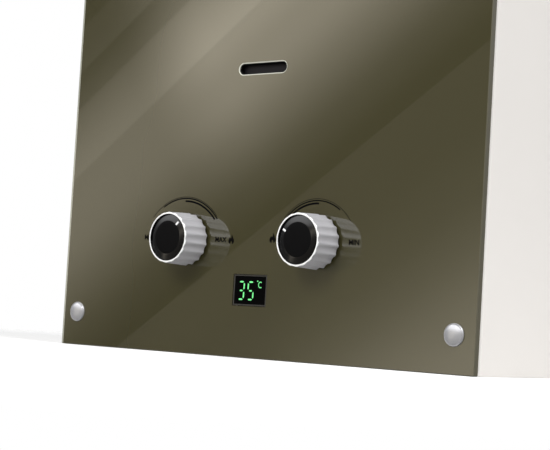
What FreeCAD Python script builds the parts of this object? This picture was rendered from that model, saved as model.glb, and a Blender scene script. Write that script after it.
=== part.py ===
import FreeCAD, Part
import math
import os
import re
import Sketcher

# Outdoor instant water heater with a glass front: a sheet-steel casing round
# a burner, a finned exchanger and two valves joined by a push pin.
# Millimetres; +Z up, the front faces -Y, X to the right seen from the front.
# The origin lies under the middle of the casing, on the rim it stands on.

Vector = FreeCAD.Vector
Rotation = FreeCAD.Rotation

SIZES = {
    # casing
    "case_width": 350,
    "case_height": 550,
    "case_depth": 150,
    "cover_sheet": 1.0,
    "cover_corner": 2.5,
    "back_sheet": 1.0,
    "back_flange": 12,
    "plate_gap": 0.3,
    "floor_sheet": 1.0,
    "floor_recess": 28,
    "floor_flange": 10,
    "vent_width": 4.5,
    "vent_length": 30,
    "vent_pitch": 13,
    "vent_count": 13,
    "vent_gap": 15,
    "hook_radius": 6,
    "hook_slot": 3,
    "hook_rise": 12,
    "hook_drop": 42,
    "hook_spacing": 200,
    "fixing_radius": 3.5,
    "fixing_level": 44,
    # glass front
    "glass_thick": 4,
    "glass_corner": 1,
    "glass_bevel": 0.5,
    "tape_thick": 1,
    "tape_width": 9,
    "tape_inset": 3,
    "sight_width": 39,
    "sight_height": 5.9,
    "sight_bevel": 1.1,
    "sight_level": 189.8,
    "sight_drop": 8.8,
    "pane_thick": 1.5,
    "pane_border": 6,
    "display_width": 28.8,
    "display_height": 20.7,
    "display_level": 44,
    "display_gap": 0.35,
    "lens_border": 3,
    "lens_flange": 1.5,
    "board_thick": 1.6,
    "board_half": 26,
    "board_drop": 9,
    "board_rise": 14,
    "chip_half": 6,
    "chip_thick": 1.8,
    "plug_length": 12,
    "plug_side": 6,
    "cap_inset": 15,
    "cap_level": 23.4,
    "cap_radius": 7,
    "cap_height": 3.6,
    "cap_wall": 1.1,
    "cap_rim": 1,
    "screw_radius": 2,
    "screw_head": 4.6,
    "screw_head_height": 1.6,
    "screw_hole": 3.2,
    "screw_tail": 4,
    # knobs
    "knob_spacing": 110.8,
    "knob_level": 76.2,
    "knob_radius": 17.2,
    "knob_taper": 2.1,
    "knob_reach": 22.5,
    "knob_gap": 2,
    "knob_wall": 2.6,
    "flute_count": 18,
    "flute_radius": 4.5,
    "flute_depth": 0.9,
    "face_radius": 15.2,
    "face_thick": 2.5,
    "face_sink": 0.5,
    "hub_radius": 5.5,
    "spindle_radius": 3,
    "spindle_flat": 0.8,
    "spindle_bore": 3.05,
    "spindle_hole": 7,
    "spindle_seat": 20,
    "spindle_play": 0.3,
    "collar_radius": 5.5,
    "collar_thick": 2.5,
    "face_web": 2.5,
    "knob_bevel": 0.5,
    "fit_gap": 0.3,
    "mark_reach": 12.7,
    "mark_length": 3.2,
    "mark_width": 1.4,
    "mark_depth": 0.8,
    "gas_knob_turn": 49,
    "water_knob_turn": 152,
    # valves
    "valve_setback": 39.25,
    "valve_half": 20,
    "valve_front": 10,
    "port_radius": 12,
    "port_level": 50,
    "disc_radius": 27,
    "disc_thick": 14,
    "link_radius": 2.5,
    "link_bore": 2.56,
    "link_grip": 10,
    "link_travel": 4,
    "flag_height": 24,
    "flag_thick": 2,
    "flag_half": 4,
    "flag_drop": 5,
    "switch_gap": 1.5,
    "switch_half": 5,
    "switch_length": 16,
    "button_radius": 1.2,
    "button_length": 7,
    "coil_radius": 14,
    "coil_length": 28,
    "thread_radius": 10.48,
    "thread_length": 16,
    "thread_drop": 6,
    "fitting_flange": 14,
    "fitting_neck": 11.5,
    "nut_radius": 15,
    "hot_offset": 120,
    "drain_back": 33,
    "drain_radius": 4.9,
    "drain_bore": 5,
    "drain_head": 8,
    "drain_boss": 8,
    "drain_arm": 7,
    "drain_level": 34,
    "drain_depth": 14,
    "drain_grip": 10,
    "drain_wing": 3,
    "drain_clear": 4,
    "valve_round": 4,
    "link_boss": 8,
    "fitting_flange_thick": 4,
    "nut_thick": 7,
    "thread_bore": 7.5,
    # burner and exchanger
    "chamber_width": 180,
    "chamber_depth": 84,
    "chamber_setback": 38.25,
    "chamber_height": 204,
    "chamber_sheet": 1.2,
    "tube_radius": 7,
    "tube_pitch": 26,
    "tube_drop": 35,
    "tube_reach": 112,
    "pipe_bend": 16,
    "riser_gap": 45,
    "fin_count": 9,
    "fin_pitch": 18,
    "fin_thick": 1,
    "fin_height": 40,
    "blade_count": 9,
    "blade_pitch": 18,
    "blade_width": 11,
    "blade_inset": 16,
    "blade_rim": 2.5,
    "blade_foot": 7,
    "manifold_gap": 50,
    "manifold_side": 14,
    "nozzle_radius": 3.5,
    "mouth_width": 6,
    "mouth_height": 9,
    "mouth_depth": 12,
    "nozzle_gap": 0.5,
    "hood_gap": 0.3,
    "manifold_drop": 30,
    "port_count": 8,
    "port_pitch": 6,
    "port_width": 2.2,
    "frame_rim": 20,
    "frame_bar": 6,
    "probe_offset": 35,
    "probe_rise": 12,
    "probe_sleeve": 22,
    "probe_front": 12,
    "probe_wire": 1,
    "bracket_reach": 12,
    "bracket_rise": 10,
    "probe_radius": 3,
    "cutout_rise": 119,
    "cutout_side": 18,
    "cutout_length": 28,
    "cutout_radius": 8,
    "cutout_height": 7,
    "sensor_rise": 29,
    "sensor_height": 18,
    "sensor_wall": 3,
    "sensor_bulb": 8,
    "outlet_jog": 95,
    "outlet_fall": 50,
    "bracket_half": 60,
    "bracket_height": 20,
    "bracket_sheet": 1.5,
    "bracket_low": 19,
    "bracket_high": 159,
    # flue guard
    "guard_width": 190,
    "guard_depth": 84,
    "guard_height": 18,
    "guard_sheet": 1,
    "guard_corner": 5,
    "guard_foot": 5,
    "guard_slot": 5,
    "guard_slots": 14,
    "guard_pitch": 12,
    "guard_border": 10,
    "grille_height": 6,
    "flue_margin": 10,
    # batteries
    "cell_radius": 16.4,
    "cell_length": 61.5,
    "nub_radius": 4.6,
    "nub_height": 1.5,
    "spring_thick": 0.6,
    "spring_half": 7,
    "box_wall": 1.5,
    "box_inset": 6,
    "box_play": 0.5,
    "box_set": 33,
    "lip_thick": 1,
    "box_height": 73,
    "hatch_plate": 2.4,
    "rail_reach": 4,
    "rail_thick": 1.5,
    "rail_grip": 3,
    "rib_count": 4,
    "rib_pitch": 4,
    "rib_width": 1.5,
    "rib_inset": 18,
    "igniter_inset": 24,
    "plug_count": 4,
    "plug_pitch": 13,
    "plug_width": 9,
    "plug_depth": 10,
    "plug_height": 5,
    "igniter_width": 60,
    "igniter_depth": 26,
    "igniter_height": 60,
    "igniter_level": 60,
    # handle
    "lug_offset": 122,
    "lug_thick": 5,
    "lug_radius": 9,
    "bail_radius": 4,
    "bail_bore": 4.06,
    "bail_length": 64,
    "grip_radius": 9,
    "grip_length": 110,
    "grip_gap": 0.5,
    "grip_play": 2,
    "lug_foot": 12,
    "bail_bend": 9,
    "bail_side_gap": 1,
}

# Places that several pieces share, as formulas of the sizes.
BACK = "((case_depth + tape_thick + glass_thick + knob_reach) / 2)"
FRONT = f"({BACK} - case_depth)"
GLASS_BACK = f"({FRONT} - tape_thick)"
GLASS_FRONT = f"({GLASS_BACK} - glass_thick)"
INSIDE = f"({FRONT} + cover_sheet)"
BACK_INSIDE = f"({BACK} - back_sheet)"
KNOB_X = "(knob_spacing / 2)"
CAP_X = "(case_width / 2 - cap_inset)"
VALVE_Y = f"({INSIDE} + valve_setback)"
VALVE_FACE = f"({VALVE_Y} - valve_half - valve_front)"
FLOOR_TOP = "(floor_recess + floor_sheet)"
SIDE_INSIDE = "(case_width / 2 - cover_sheet)"
PLATE_SIDE = f"({SIDE_INSIDE} - plate_gap)"
CHAMBER_FRONT = f"({INSIDE} + chamber_setback)"
CHAMBER_MIDDLE = f"({CHAMBER_FRONT} + chamber_depth / 2)"
CHAMBER_BACK = f"({CHAMBER_FRONT} + chamber_depth)"
CHAMBER_BASE = "(sight_level - sight_drop)"
CHAMBER_TOP = f"({CHAMBER_BASE} + chamber_height)"
CHAMBER_SIDE = "(chamber_width / 2)"
TUBE_Z = f"({CHAMBER_TOP} - tube_drop)"
PROBE_Z = f"({CHAMBER_BASE} + probe_rise)"
MANIFOLD_Z = f"({CHAMBER_BASE} - manifold_gap)"
RISER_X = f"({CHAMBER_SIDE} + riser_gap)"
BLADE_BASE = f"({MANIFOLD_Z} - blade_foot)"
BLADE_FRONT = f"({CHAMBER_FRONT} + blade_inset)"
BLADE_BACK = f"({CHAMBER_BACK} - blade_rim)"
DISC_LEFT = f"({KNOB_X} - valve_half - disc_thick)"
FLAG_LEFT = f"({DISC_LEFT} - switch_length - flag_thick - switch_gap)"
DRAIN_Y = f"({VALVE_Y} + drain_back)"
BOX_RIGHT = f"({PLATE_SIDE} - box_inset)"
BOX_LEFT = f"({BOX_RIGHT} - 4 * cell_radius - 2 * box_wall - 2 * box_play)"
BOX_FRONT = f"({VALVE_Y} - box_set)"
BOX_BACK = f"({BOX_FRONT} + 2 * cell_radius + 2 * box_wall + 2 * box_play)"
BOX_BASE = "(floor_recess - lip_thick)"
GUARD_BACK = f"({CHAMBER_MIDDLE} + guard_depth / 2)"
GRIP_Y = f"({GUARD_BACK} + guard_foot + grip_play + grip_radius)"
PIVOT_Y = f"({GRIP_Y} - bail_length)"
PIVOT_Z = "(case_height + grip_radius + grip_gap)"

TURNS = {
    "+X": Rotation(Vector(0, 1, 0), 90),
    "-X": Rotation(Vector(0, 1, 0), -90),
    "+Y": Rotation(Vector(1, 0, 0), -90),
    "-Y": Rotation(Vector(1, 0, 0), 90),
    "+Z": Rotation(),
    "-Z": Rotation(Vector(1, 0, 0), 180),
}

doc = FreeCAD.newDocument("water_heater")
sheet = doc.addObject("Spreadsheet::Sheet", "Sizes")
for row, (alias, value) in enumerate(SIZES.items(), start=1):
    sheet.set(f"A{row}", alias)
    sheet.set(f"B{row}", str(value))
    sheet.setAlias(f"B{row}", alias)
doc.recompute()


# ---- helpers --------------------------------------------------------------

def size(formula):
    """The present value of a formula of the sheet's sizes."""
    return float(sheet.evalExpression(str(formula)))


def rule(formula):
    """The same formula as other objects read it, through the sheet's name."""
    return re.sub(r"\b([a-z]+(?:_[a-z]+)+)\b", r"Sizes.\1", str(formula))


def tie(item, **formulas):
    """Bind properties of an object to formulas."""
    for name, formula in formulas.items():
        item.setExpression(name, rule(formula))
    return item


def put(item, x=0, y=0, z=0):
    """Bind the place of an object to formulas."""
    for axis, formula in zip("xyz", (x, y, z)):
        item.setExpression(f"Placement.Base.{axis}", rule(formula))
    return item


def block(name, x, y, z):
    """A box between two formulas along each axis."""
    item = doc.addObject("Part::Box", name)
    tie(item, Length=f"({x[1]}) - ({x[0]})", Width=f"({y[1]}) - ({y[0]})",
        Height=f"({z[1]}) - ({z[0]})")
    return put(item, x[0], y[0], z[0])


def rod(name, radius, length, at, turn="+Z"):
    """A cylinder from a point along one of the axes."""
    item = doc.addObject("Part::Cylinder", name)
    item.Placement = FreeCAD.Placement(Vector(), TURNS[turn])
    tie(item, Radius=radius, Height=length)
    return put(item, *at)


def prism(name, radius, length, at, turn="+Z"):
    """A hexagonal bar from a point along one of the axes."""
    item = doc.addObject("Part::Prism", name)
    item.Polygon = 6
    item.Placement = FreeCAD.Placement(Vector(), TURNS[turn])
    tie(item, Circumradius=radius, Height=length)
    return put(item, *at)


def join(name, items):
    """Several solids made one."""
    item = doc.addObject("Part::MultiFuse", name)
    item.Shapes = items
    item.Refine = True
    return item


def group(name, items):
    """Several solids kept apart under one name."""
    item = doc.addObject("Part::Compound", name)
    item.Links = items
    return item


def cut(name, base, tools):
    """A solid with others taken out of it."""
    tool = tools[0] if len(tools) == 1 else join(f"{name}_tools", tools)
    item = doc.addObject("Part::Cut", name)
    item.Base = base
    item.Tool = tool
    item.Refine = True
    return item


def bevel_edges(name, base, amount, test):
    """A Part chamfer on the edges whose middle point passes the test."""
    doc.recompute()
    item = doc.addObject("Part::Chamfer", name)
    item.Base = base
    value = size(amount)
    item.Edges = [(number, value, value) for number, edge in enumerate(base.Shape.Edges, start=1)
                  if test(edge.CenterOfMass)]
    return item


def plane(body, role):
    """One of a body's own planes or axes."""
    for feature in body.Origin.OriginFeatures:
        if feature.Role == role:
            return feature
    raise ValueError(role)


def new_body(name):
    return doc.addObject("PartDesign::Body", name)


def sketch(body, role, offset=0):
    """An empty sketch on one of the body's planes."""
    item = body.newObject("Sketcher::SketchObject", f"{body.Name}_sketch")
    item.AttachmentSupport = [(plane(body, role), "")]
    item.MapMode = "FlatFace"
    item.setExpression("AttachmentOffset.Base.z", rule(offset))
    return item


def front_sketch(body, y):
    """A sketch across Y: x to the right, y up, facing the front."""
    return sketch(body, "XZ_Plane", f"-({y})")


def top_sketch(body, z):
    """A sketch across Z: x to the right, y to the back, facing up."""
    return sketch(body, "XY_Plane", z)


def side_sketch(body, x):
    """A sketch across X: x to the back, y up, facing the right."""
    return sketch(body, "YZ_Plane", x)


def dimension(item, kind, where, formula):
    """One named constraint, bound to a formula."""
    index = item.addConstraint(Sketcher.Constraint(kind, *where, size(formula)))
    name = f"size_{index}"
    item.renameConstraint(index, name)
    item.setExpression(f"Constraints.{name}", rule(formula))


def fix_point(item, line, end, x, y):
    dimension(item, "DistanceX", (-1, 1, line, end), x)
    dimension(item, "DistanceY", (-1, 1, line, end), y)


def outline(item, points):
    """A closed run of straight lines through points given as formulas."""
    places = [Vector(size(x), size(y), 0) for x, y in points]
    lines = []
    for start, end in zip(places, places[1:] + places[:1]):
        lines.append(item.addGeometry(Part.LineSegment(start, end), False))
    for line, after in zip(lines, lines[1:] + lines[:1]):
        item.addConstraint(Sketcher.Constraint("Coincident", line, 2, after, 1))
    for line, (x, y) in zip(lines, points):
        fix_point(item, line, 1, x, y)
    return item


def rectangle(item, x, y):
    """A rectangle between two formulas each way."""
    return outline(item, [(x[0], y[0]), (x[1], y[0]), (x[1], y[1]), (x[0], y[1])])


def circle(item, x, y, radius):
    centre = Vector(size(x), size(y), 0)
    ring = item.addGeometry(Part.Circle(centre, Vector(0, 0, 1), size(radius)), False)
    fix_point(item, ring, 3, x, y)
    dimension(item, "Radius", (ring,), radius)
    return item


def slot(item, x, y, length, width, upright=False):
    """A slot with round ends, lying or upright, about its middle."""
    half = f"(({length}) - ({width})) / 2"
    along = Vector(0, 1, 0) if upright else Vector(1, 0, 0)
    across = Vector(-along.y, along.x, 0)
    middle = Vector(size(x), size(y), 0)
    run = size(half)
    radius = size(f"({width}) / 2")
    low = middle - along * run
    high = middle + along * run
    points = [low + across * radius, high + across * radius,
              high - across * radius, low - across * radius]
    caps = [Part.Arc(points[1], high + along * radius, points[2]),
            Part.Arc(points[3], low - along * radius, points[0])]
    first = item.addGeometry(Part.LineSegment(points[0], points[1]), False)
    cap_high = item.addGeometry(caps[0], False)
    second = item.addGeometry(Part.LineSegment(points[2], points[3]), False)
    cap_low = item.addGeometry(caps[1], False)
    # An arc drawn clockwise is stored counter-clockwise, with its ends swapped.
    for line, arc in ((first, cap_high), (second, cap_low)):
        item.addConstraint(Sketcher.Constraint("Tangent", line, 2, arc, 2))
    for line, arc in ((second, cap_high), (first, cap_low)):
        item.addConstraint(Sketcher.Constraint("Tangent", line, 1, arc, 1))
    dimension(item, "Radius", (cap_low,), f"({width}) / 2")
    ends = ((cap_low, "-"), (cap_high, "+"))
    for arc, sign in ends:
        if upright:
            fix_point(item, arc, 3, x, f"({y}) {sign} {half}")
        else:
            fix_point(item, arc, 3, f"({x}) {sign} {half}", y)
    return item


def pad(body, profile, length, backward=False):
    item = body.newObject("PartDesign::Pad", f"{body.Name}_pad")
    item.Profile = profile
    item.Reversed = backward
    return tie(item, Length=length)


def pocket(body, profile, length, backward=False):
    """A cut along the sketch's back, or along its face when backward."""
    item = body.newObject("PartDesign::Pocket", f"{body.Name}_pocket")
    item.Profile = profile
    item.Reversed = backward
    return tie(item, Length=length)


def spin(body, profile, axis="V_Axis", groove=False):
    """A sketch turned once round one of its own axes."""
    kind = "PartDesign::Groove" if groove else "PartDesign::Revolution"
    item = body.newObject(kind, f"{body.Name}_spin")
    item.Profile = profile
    item.ReferenceAxis = (profile, [axis])
    item.Angle = 360
    return item


def repeat_line(body, feature, role, pitch, count):
    """Copies of a feature in a row, an equal pitch apart."""
    item = body.newObject("PartDesign::LinearPattern", f"{body.Name}_row")
    item.Originals = [feature]
    item.Direction = (plane(body, role), [""])
    tie(item, Length=f"({pitch}) * (({count}) - 1)", Occurrences=count)
    body.Tip = item
    return item


def repeat_round(body, feature, role, count):
    """Copies of a feature round an axis."""
    item = body.newObject("PartDesign::PolarPattern", f"{body.Name}_ring")
    item.Originals = [feature]
    item.Axis = (plane(body, role), [""])
    item.Angle = 360
    tie(item, Occurrences=count)
    body.Tip = item
    return item


def dress(body, kind, amount, test):
    """A fillet or chamfer on the edges whose middle point passes the test."""
    doc.recompute()
    base = body.Tip
    names = [f"Edge{number}" for number, edge in enumerate(base.Shape.Edges, start=1)
             if test(edge.CenterOfMass, edge)]
    item = body.newObject(f"PartDesign::{kind}", f"{body.Name}_{kind.lower()}")
    item.Base = (base, names)
    return tie(item, **{"Radius" if kind == "Fillet" else "Size": amount})


def near(value, formula, reach=0.02):
    return abs(value - size(formula)) < reach


def run_of_pipe(name, radius, bend, points):
    """A round rod swept along straight runs joined by tangent arcs."""
    places = [Vector(*[size(number) for number in point]) for point in points]
    edges = []
    start = places[0]
    for before, corner, after in zip(places, places[1:], places[2:]):
        inward = (before - corner).normalize()
        outward = (after - corner).normalize()
        half = inward.getAngle(outward) / 2
        reach = size(bend) / math.tan(half)
        entry = corner + inward * reach
        leave = corner + outward * reach
        middle = (inward + outward).normalize()
        centre = corner + middle * (size(bend) / math.sin(half))
        if start.distanceToPoint(entry) > 0.001:
            edges.append(Part.LineSegment(start, entry).toShape())
        edges.append(Part.Arc(entry, centre - middle * size(bend), leave).toShape())
        start = leave
    edges.append(Part.LineSegment(start, places[-1]).toShape())
    path = Part.Wire(edges)
    ring = Part.Circle(places[0], places[1] - places[0], size(radius))
    item = doc.addObject("Part::Feature", name)
    item.Shape = path.makePipeShell([Part.Wire([ring.toShape()])], True, False)
    return item


# ---- casing ---------------------------------------------------------------

def front_cover():
    """Folded front, sides and top; open below and behind."""
    body = new_body("front_cover")
    face = rectangle(front_sketch(body, FRONT), ("-case_width / 2", "case_width / 2"),
                     ("0", "case_height"))
    pad(body, face, "case_depth", backward=True)

    def folded(middle, edge):
        on_front = near(middle.y, FRONT)
        on_side = near(abs(middle.x), "case_width / 2")
        on_top = near(middle.z, "case_height")
        return on_front + on_side + on_top == 2

    dress(body, "Fillet", "cover_corner", folded)
    hollow = rectangle(front_sketch(body, BACK), (f"-{SIDE_INSIDE}", SIDE_INSIDE),
                       ("-cover_sheet", "case_height - cover_sheet"))
    pocket(body, hollow, "case_depth - cover_sheet", backward=True)
    holes = front_sketch(body, FRONT)
    for side in ("-", ""):
        circle(holes, f"{side}{KNOB_X}", "knob_level", "spindle_hole")
        for level in ("cap_level", "case_height - cap_level"):
            circle(holes, f"{side}{CAP_X}", level, "screw_radius + 0.1")
    slot(holes, 0, "sight_level", "sight_width + 4", "sight_height + 4")
    rectangle(holes, ("-display_width / 2", "display_width / 2"),
              ("display_level - display_height / 2", "display_level + display_height / 2"))
    pocket(body, holes, "cover_sheet * 2")
    flue = rectangle(top_sketch(body, "case_height"),
                     ("-(guard_width / 2 - flue_margin)", "guard_width / 2 - flue_margin"),
                     (f"{CHAMBER_FRONT} + flue_margin", f"{CHAMBER_BACK} - flue_margin"))
    pocket(body, flue, "cover_sheet * 2")
    return body


def back_plate():
    """Shallow pan that closes the back and hangs on the wall."""
    body = new_body("back_plate")
    face = rectangle(front_sketch(body, BACK), (f"-{PLATE_SIDE}", PLATE_SIDE),
                     ("0", "case_height - cover_sheet - plate_gap"))
    pad(body, face, "back_flange")
    pan = rectangle(front_sketch(body, f"{BACK} - back_flange"),
                    (f"-({PLATE_SIDE} - back_sheet)", f"{PLATE_SIDE} - back_sheet"),
                    ("back_sheet", "case_height - cover_sheet - plate_gap - back_sheet"))
    pocket(body, pan, "back_flange - back_sheet")
    openings = front_sketch(body, BACK_INSIDE)
    for side in ("-", ""):
        circle(openings, f"{side}hook_spacing / 2", "fixing_level", "fixing_radius")
    pocket(body, openings, "back_sheet * 2")
    for side in ("-", ""):
        hook = front_sketch(body, BACK_INSIDE)
        circle(hook, f"{side}hook_spacing / 2", "case_height - hook_drop", "hook_radius")
        pocket(body, hook, "back_sheet * 2")
        neck = front_sketch(body, BACK_INSIDE)
        slot(neck, f"{side}hook_spacing / 2", "case_height - hook_drop + hook_rise / 2",
             "hook_rise + 2 * hook_slot", "2 * hook_slot", upright=True)
        pocket(body, neck, "back_sheet * 2")
    return body


def bottom_plate():
    """Recessed floor with flanges, air slots and the holes of the fittings."""
    body = new_body("bottom_plate")
    front = f"({INSIDE} + plate_gap)"
    back = f"({BACK} - back_flange - plate_gap)"
    base = rectangle(top_sketch(body, "floor_recess"), (f"-{PLATE_SIDE}", PLATE_SIDE),
                     (front, back))
    pad(body, base, "floor_flange")
    pan = rectangle(top_sketch(body, "floor_recess + floor_flange"),
                    (f"-({PLATE_SIDE} - floor_sheet)", f"{PLATE_SIDE} - floor_sheet"),
                    (f"{front} + floor_sheet", f"{back} - floor_sheet"))
    pocket(body, pan, "floor_flange - floor_sheet")
    holes = top_sketch(body, FLOOR_TOP)
    for x in ("-hot_offset", f"-{KNOB_X}", KNOB_X):
        circle(holes, x, VALVE_Y, "fitting_neck + 0.3")
    circle(holes, KNOB_X, DRAIN_Y, "drain_head + 1")
    rectangle(holes, (f"{BOX_LEFT} - plate_gap", f"{BOX_RIGHT} + plate_gap"),
              (f"{BOX_FRONT} - plate_gap", f"{BOX_BACK} + plate_gap"))
    pocket(body, holes, "floor_sheet * 2")
    notch = rectangle(front_sketch(body, INSIDE), ("-board_half - 2", "board_half + 2"),
                      (f"{FLOOR_TOP}", "floor_recess + floor_flange + 1"))
    pocket(body, notch, "plate_gap + floor_sheet * 2")
    first = "(-vent_pitch * (vent_count - 1) / 2)"
    vent = rectangle(top_sketch(body, FLOOR_TOP),
                     (f"{first} - vent_width / 2", f"{first} + vent_width / 2"),
                     (f"{DRAIN_Y} + vent_gap", f"{DRAIN_Y} + vent_gap + vent_length"))
    vent_cut = pocket(body, vent, "floor_sheet * 2")
    repeat_line(body, vent_cut, "X_Axis", "vent_pitch", "vent_count")
    return body


def glass_panel():
    """Tempered front with polished edges, a ground sight slot and five openings."""
    body = new_body("glass_panel")
    face = rectangle(front_sketch(body, GLASS_FRONT), ("-case_width / 2", "case_width / 2"),
                     ("0", "case_height"))
    pad(body, face, "glass_thick", backward=True)

    def corner(middle, edge):
        return near(abs(middle.x), "case_width / 2") and (
            near(middle.z, "0") or near(middle.z, "case_height"))

    dress(body, "Fillet", "glass_corner", corner)

    def rim(middle, edge):
        return near(middle.y, GLASS_FRONT)

    dress(body, "Chamfer", "glass_bevel", rim)
    holes = front_sketch(body, GLASS_FRONT)
    for side in ("-", ""):
        circle(holes, f"{side}{KNOB_X}", "knob_level", "spindle_hole")
        for level in ("cap_level", "case_height - cap_level"):
            circle(holes, f"{side}{CAP_X}", level, "screw_hole")
    slot(holes, 0, "sight_level", "sight_width", "sight_height")
    rectangle(holes, ("-display_width / 2", "display_width / 2"),
              ("display_level - display_height / 2", "display_level + display_height / 2"))
    pocket(body, holes, "glass_thick * 2")

    def sight_rim(middle, edge):
        return (near(middle.y, GLASS_FRONT) and abs(middle.x) < size("sight_width / 2 + 0.1")
                and near(middle.z, "sight_level", size("sight_height / 2 + 0.1")))

    dress(body, "Chamfer", "sight_bevel", sight_rim)
    return body


def glass_foam_tape():
    """Sealing strip between the glass and the cover, all round."""
    body = new_body("glass_foam_tape")
    inset = "(tape_inset + tape_width)"
    ring = front_sketch(body, FRONT)
    rectangle(ring, ("-(case_width / 2 - tape_inset)", "case_width / 2 - tape_inset"),
              ("tape_inset", "case_height - tape_inset"))
    rectangle(ring, (f"-(case_width / 2 - {inset})", f"case_width / 2 - {inset}"),
              (inset, f"case_height - {inset}"))
    pad(body, ring, "tape_thick")
    return body


def cap_places():
    """The four corners where the glass is screwed on."""
    for side in ("-", ""):
        for level in ("cap_level", "(case_height - cap_level)"):
            yield f"{side}{CAP_X}", level


def screw_caps():
    """Domed covers over the glass screws, one to a corner."""
    caps = []
    for number, (x, z) in enumerate(cap_places(), start=1):
        body = new_body(f"screw_cap_{number}")
        profile = outline(sketch(body, "XY_Plane"), [
            ("cap_radius * 0.7", "0"),
            ("cap_radius", "0"),
            ("cap_radius", "cap_rim"),
            ("cap_radius * 0.7", "cap_height * 0.8"),
            ("0", "cap_height"),
            ("0", "cap_height * 0.8 - cap_wall"),
            ("cap_radius * 0.7", "cap_height * 0.8 - cap_wall"),
        ])
        spin(body, profile)
        body.Placement = FreeCAD.Placement(Vector(), Rotation(Vector(1, 0, 0), 180))
        put(body, x, GLASS_FRONT, z)
        caps.append(body)
    return caps


def glass_screws():
    """Pan-head screws that hold the glass to the cover."""
    screws = []
    for number, (x, z) in enumerate(cap_places(), start=1):
        head = rod(f"glass_screw_{number}_head", "screw_head", "screw_head_height",
                   (x, GLASS_FRONT, z), "-Y")
        shank = rod(f"glass_screw_{number}_shank", "screw_radius",
                    "glass_thick + tape_thick + cover_sheet + screw_tail",
                    (x, GLASS_FRONT, z), "+Y")
        screws.append(join(f"glass_screw_{number}", [head, shank]))
    return group("glass_screws", screws)


def sight_pane():
    """Heat-proof pane behind the slot that shows the flame."""
    body = new_body("sight_pane")
    flange = rectangle(front_sketch(body, f"{INSIDE} + pane_thick"),
                       ("-(sight_width / 2 + pane_border)", "sight_width / 2 + pane_border"),
                       ("sight_level - sight_height / 2 - pane_border",
                        "sight_level + sight_height / 2 + pane_border"))
    pad(body, flange, "pane_thick")
    boss = slot(front_sketch(body, INSIDE), 0, "sight_level", "sight_width + 3.4",
                "sight_height + 3.4")
    pad(body, boss, "cover_sheet + tape_thick - fit_gap")
    return body


def display_lens():
    """Window of the temperature display, set flush in the glass."""
    body = new_body("display_lens")
    width = "(display_width / 2 - display_gap)"
    height = "(display_height / 2 - display_gap)"
    border = "(display_width / 2 + lens_border)"
    flange = rectangle(front_sketch(body, f"{INSIDE} + lens_flange"), (f"-{border}", border),
                       ("display_level - display_height / 2 - lens_border",
                        "display_level + display_height / 2 + lens_border"))
    pad(body, flange, "lens_flange")
    window = rectangle(front_sketch(body, INSIDE), (f"-{width}", width),
                       (f"display_level - {height}", f"display_level + {height}"))
    pad(body, window, "cover_sheet + tape_thick + glass_thick - display_gap")
    return body


def display_board():
    """Circuit board behind the display, with its chip and plug."""
    face = f"({INSIDE} + lens_flange)"
    back = f"({face} + board_thick)"
    board = block("display_board_card", ("-board_half", "board_half"), (face, back),
                  ("display_level - board_drop", "display_level + board_rise"))
    chip = block("display_board_chip", ("-2 * chip_half", "0"), (back, f"{back} + chip_thick"),
                 ("display_level - chip_half", "display_level + chip_half"))
    plug = block("display_board_plug", ("plug_side", "plug_side + plug_length"),
                 (back, f"{back} + plug_side"),
                 ("display_level", "display_level + plug_side"))
    return join("display_board", [board, chip, plug])


def flue_guard():
    """Pressed cap over the flue, slotted across its top and along its front."""
    body = new_body("flue_guard")
    half = "(guard_width / 2)"
    front = f"({GUARD_BACK} - guard_depth)"
    back = GUARD_BACK
    base = rectangle(top_sketch(body, "case_height"), (f"-{half}", half), (front, back))
    pad(body, base, "guard_height")

    def shoulder(middle, edge):
        on_side = near(abs(middle.x), half)
        on_end = near(middle.y, front) or near(middle.y, back)
        on_top = near(middle.z, "case_height + guard_height")
        return on_side + on_end + on_top == 2

    dress(body, "Fillet", "guard_corner", shoulder)
    inner = top_sketch(body, "case_height")
    rectangle(inner, (f"-({half} - guard_corner)", f"{half} - guard_corner"),
              (f"{front} + guard_sheet", f"{back} - guard_sheet"))
    pocket(body, inner, "guard_height - guard_sheet", backward=True)
    lip = rectangle(top_sketch(body, "case_height"),
                    (f"-({half} + guard_foot)", f"{half} + guard_foot"),
                    (f"{front} - guard_foot", f"{back} + guard_foot"))
    rectangle(lip, (f"-({half} - guard_corner)", f"{half} - guard_corner"),
              (f"{front} + guard_sheet", f"{back} - guard_sheet"))
    pad(body, lip, "guard_sheet")
    start = "(-guard_pitch * (guard_slots - 1) / 2)"
    across = (f"{start} - guard_slot / 2", f"{start} + guard_slot / 2")
    first = rectangle(top_sketch(body, "case_height + guard_height"), across,
                      (f"{front} + guard_border", f"{back} - guard_border"))
    top_cut = pocket(body, first, "guard_sheet * 2")
    repeat_line(body, top_cut, "X_Axis", "guard_pitch", "guard_slots")
    low = "(case_height + (guard_height - grille_height) / 2)"
    grille = rectangle(front_sketch(body, front), across, (low, f"{low} + grille_height"))
    front_cut = pocket(body, grille, "guard_sheet * 2")
    repeat_line(body, front_cut, "X_Axis", "guard_pitch", "guard_slots")
    return body


# ---- knobs ----------------------------------------------------------------

def turned(body, x, turn):
    """Stand a body on a knob's axis at the glass, turned about that axis."""
    body.Placement = FreeCAD.Placement(Vector(), Rotation(Vector(0, -1, 0), size(turn)))
    body.setExpression("Placement.Rotation.Angle", rule(turn))
    return put(body, x, GLASS_FRONT, "knob_level")


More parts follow.
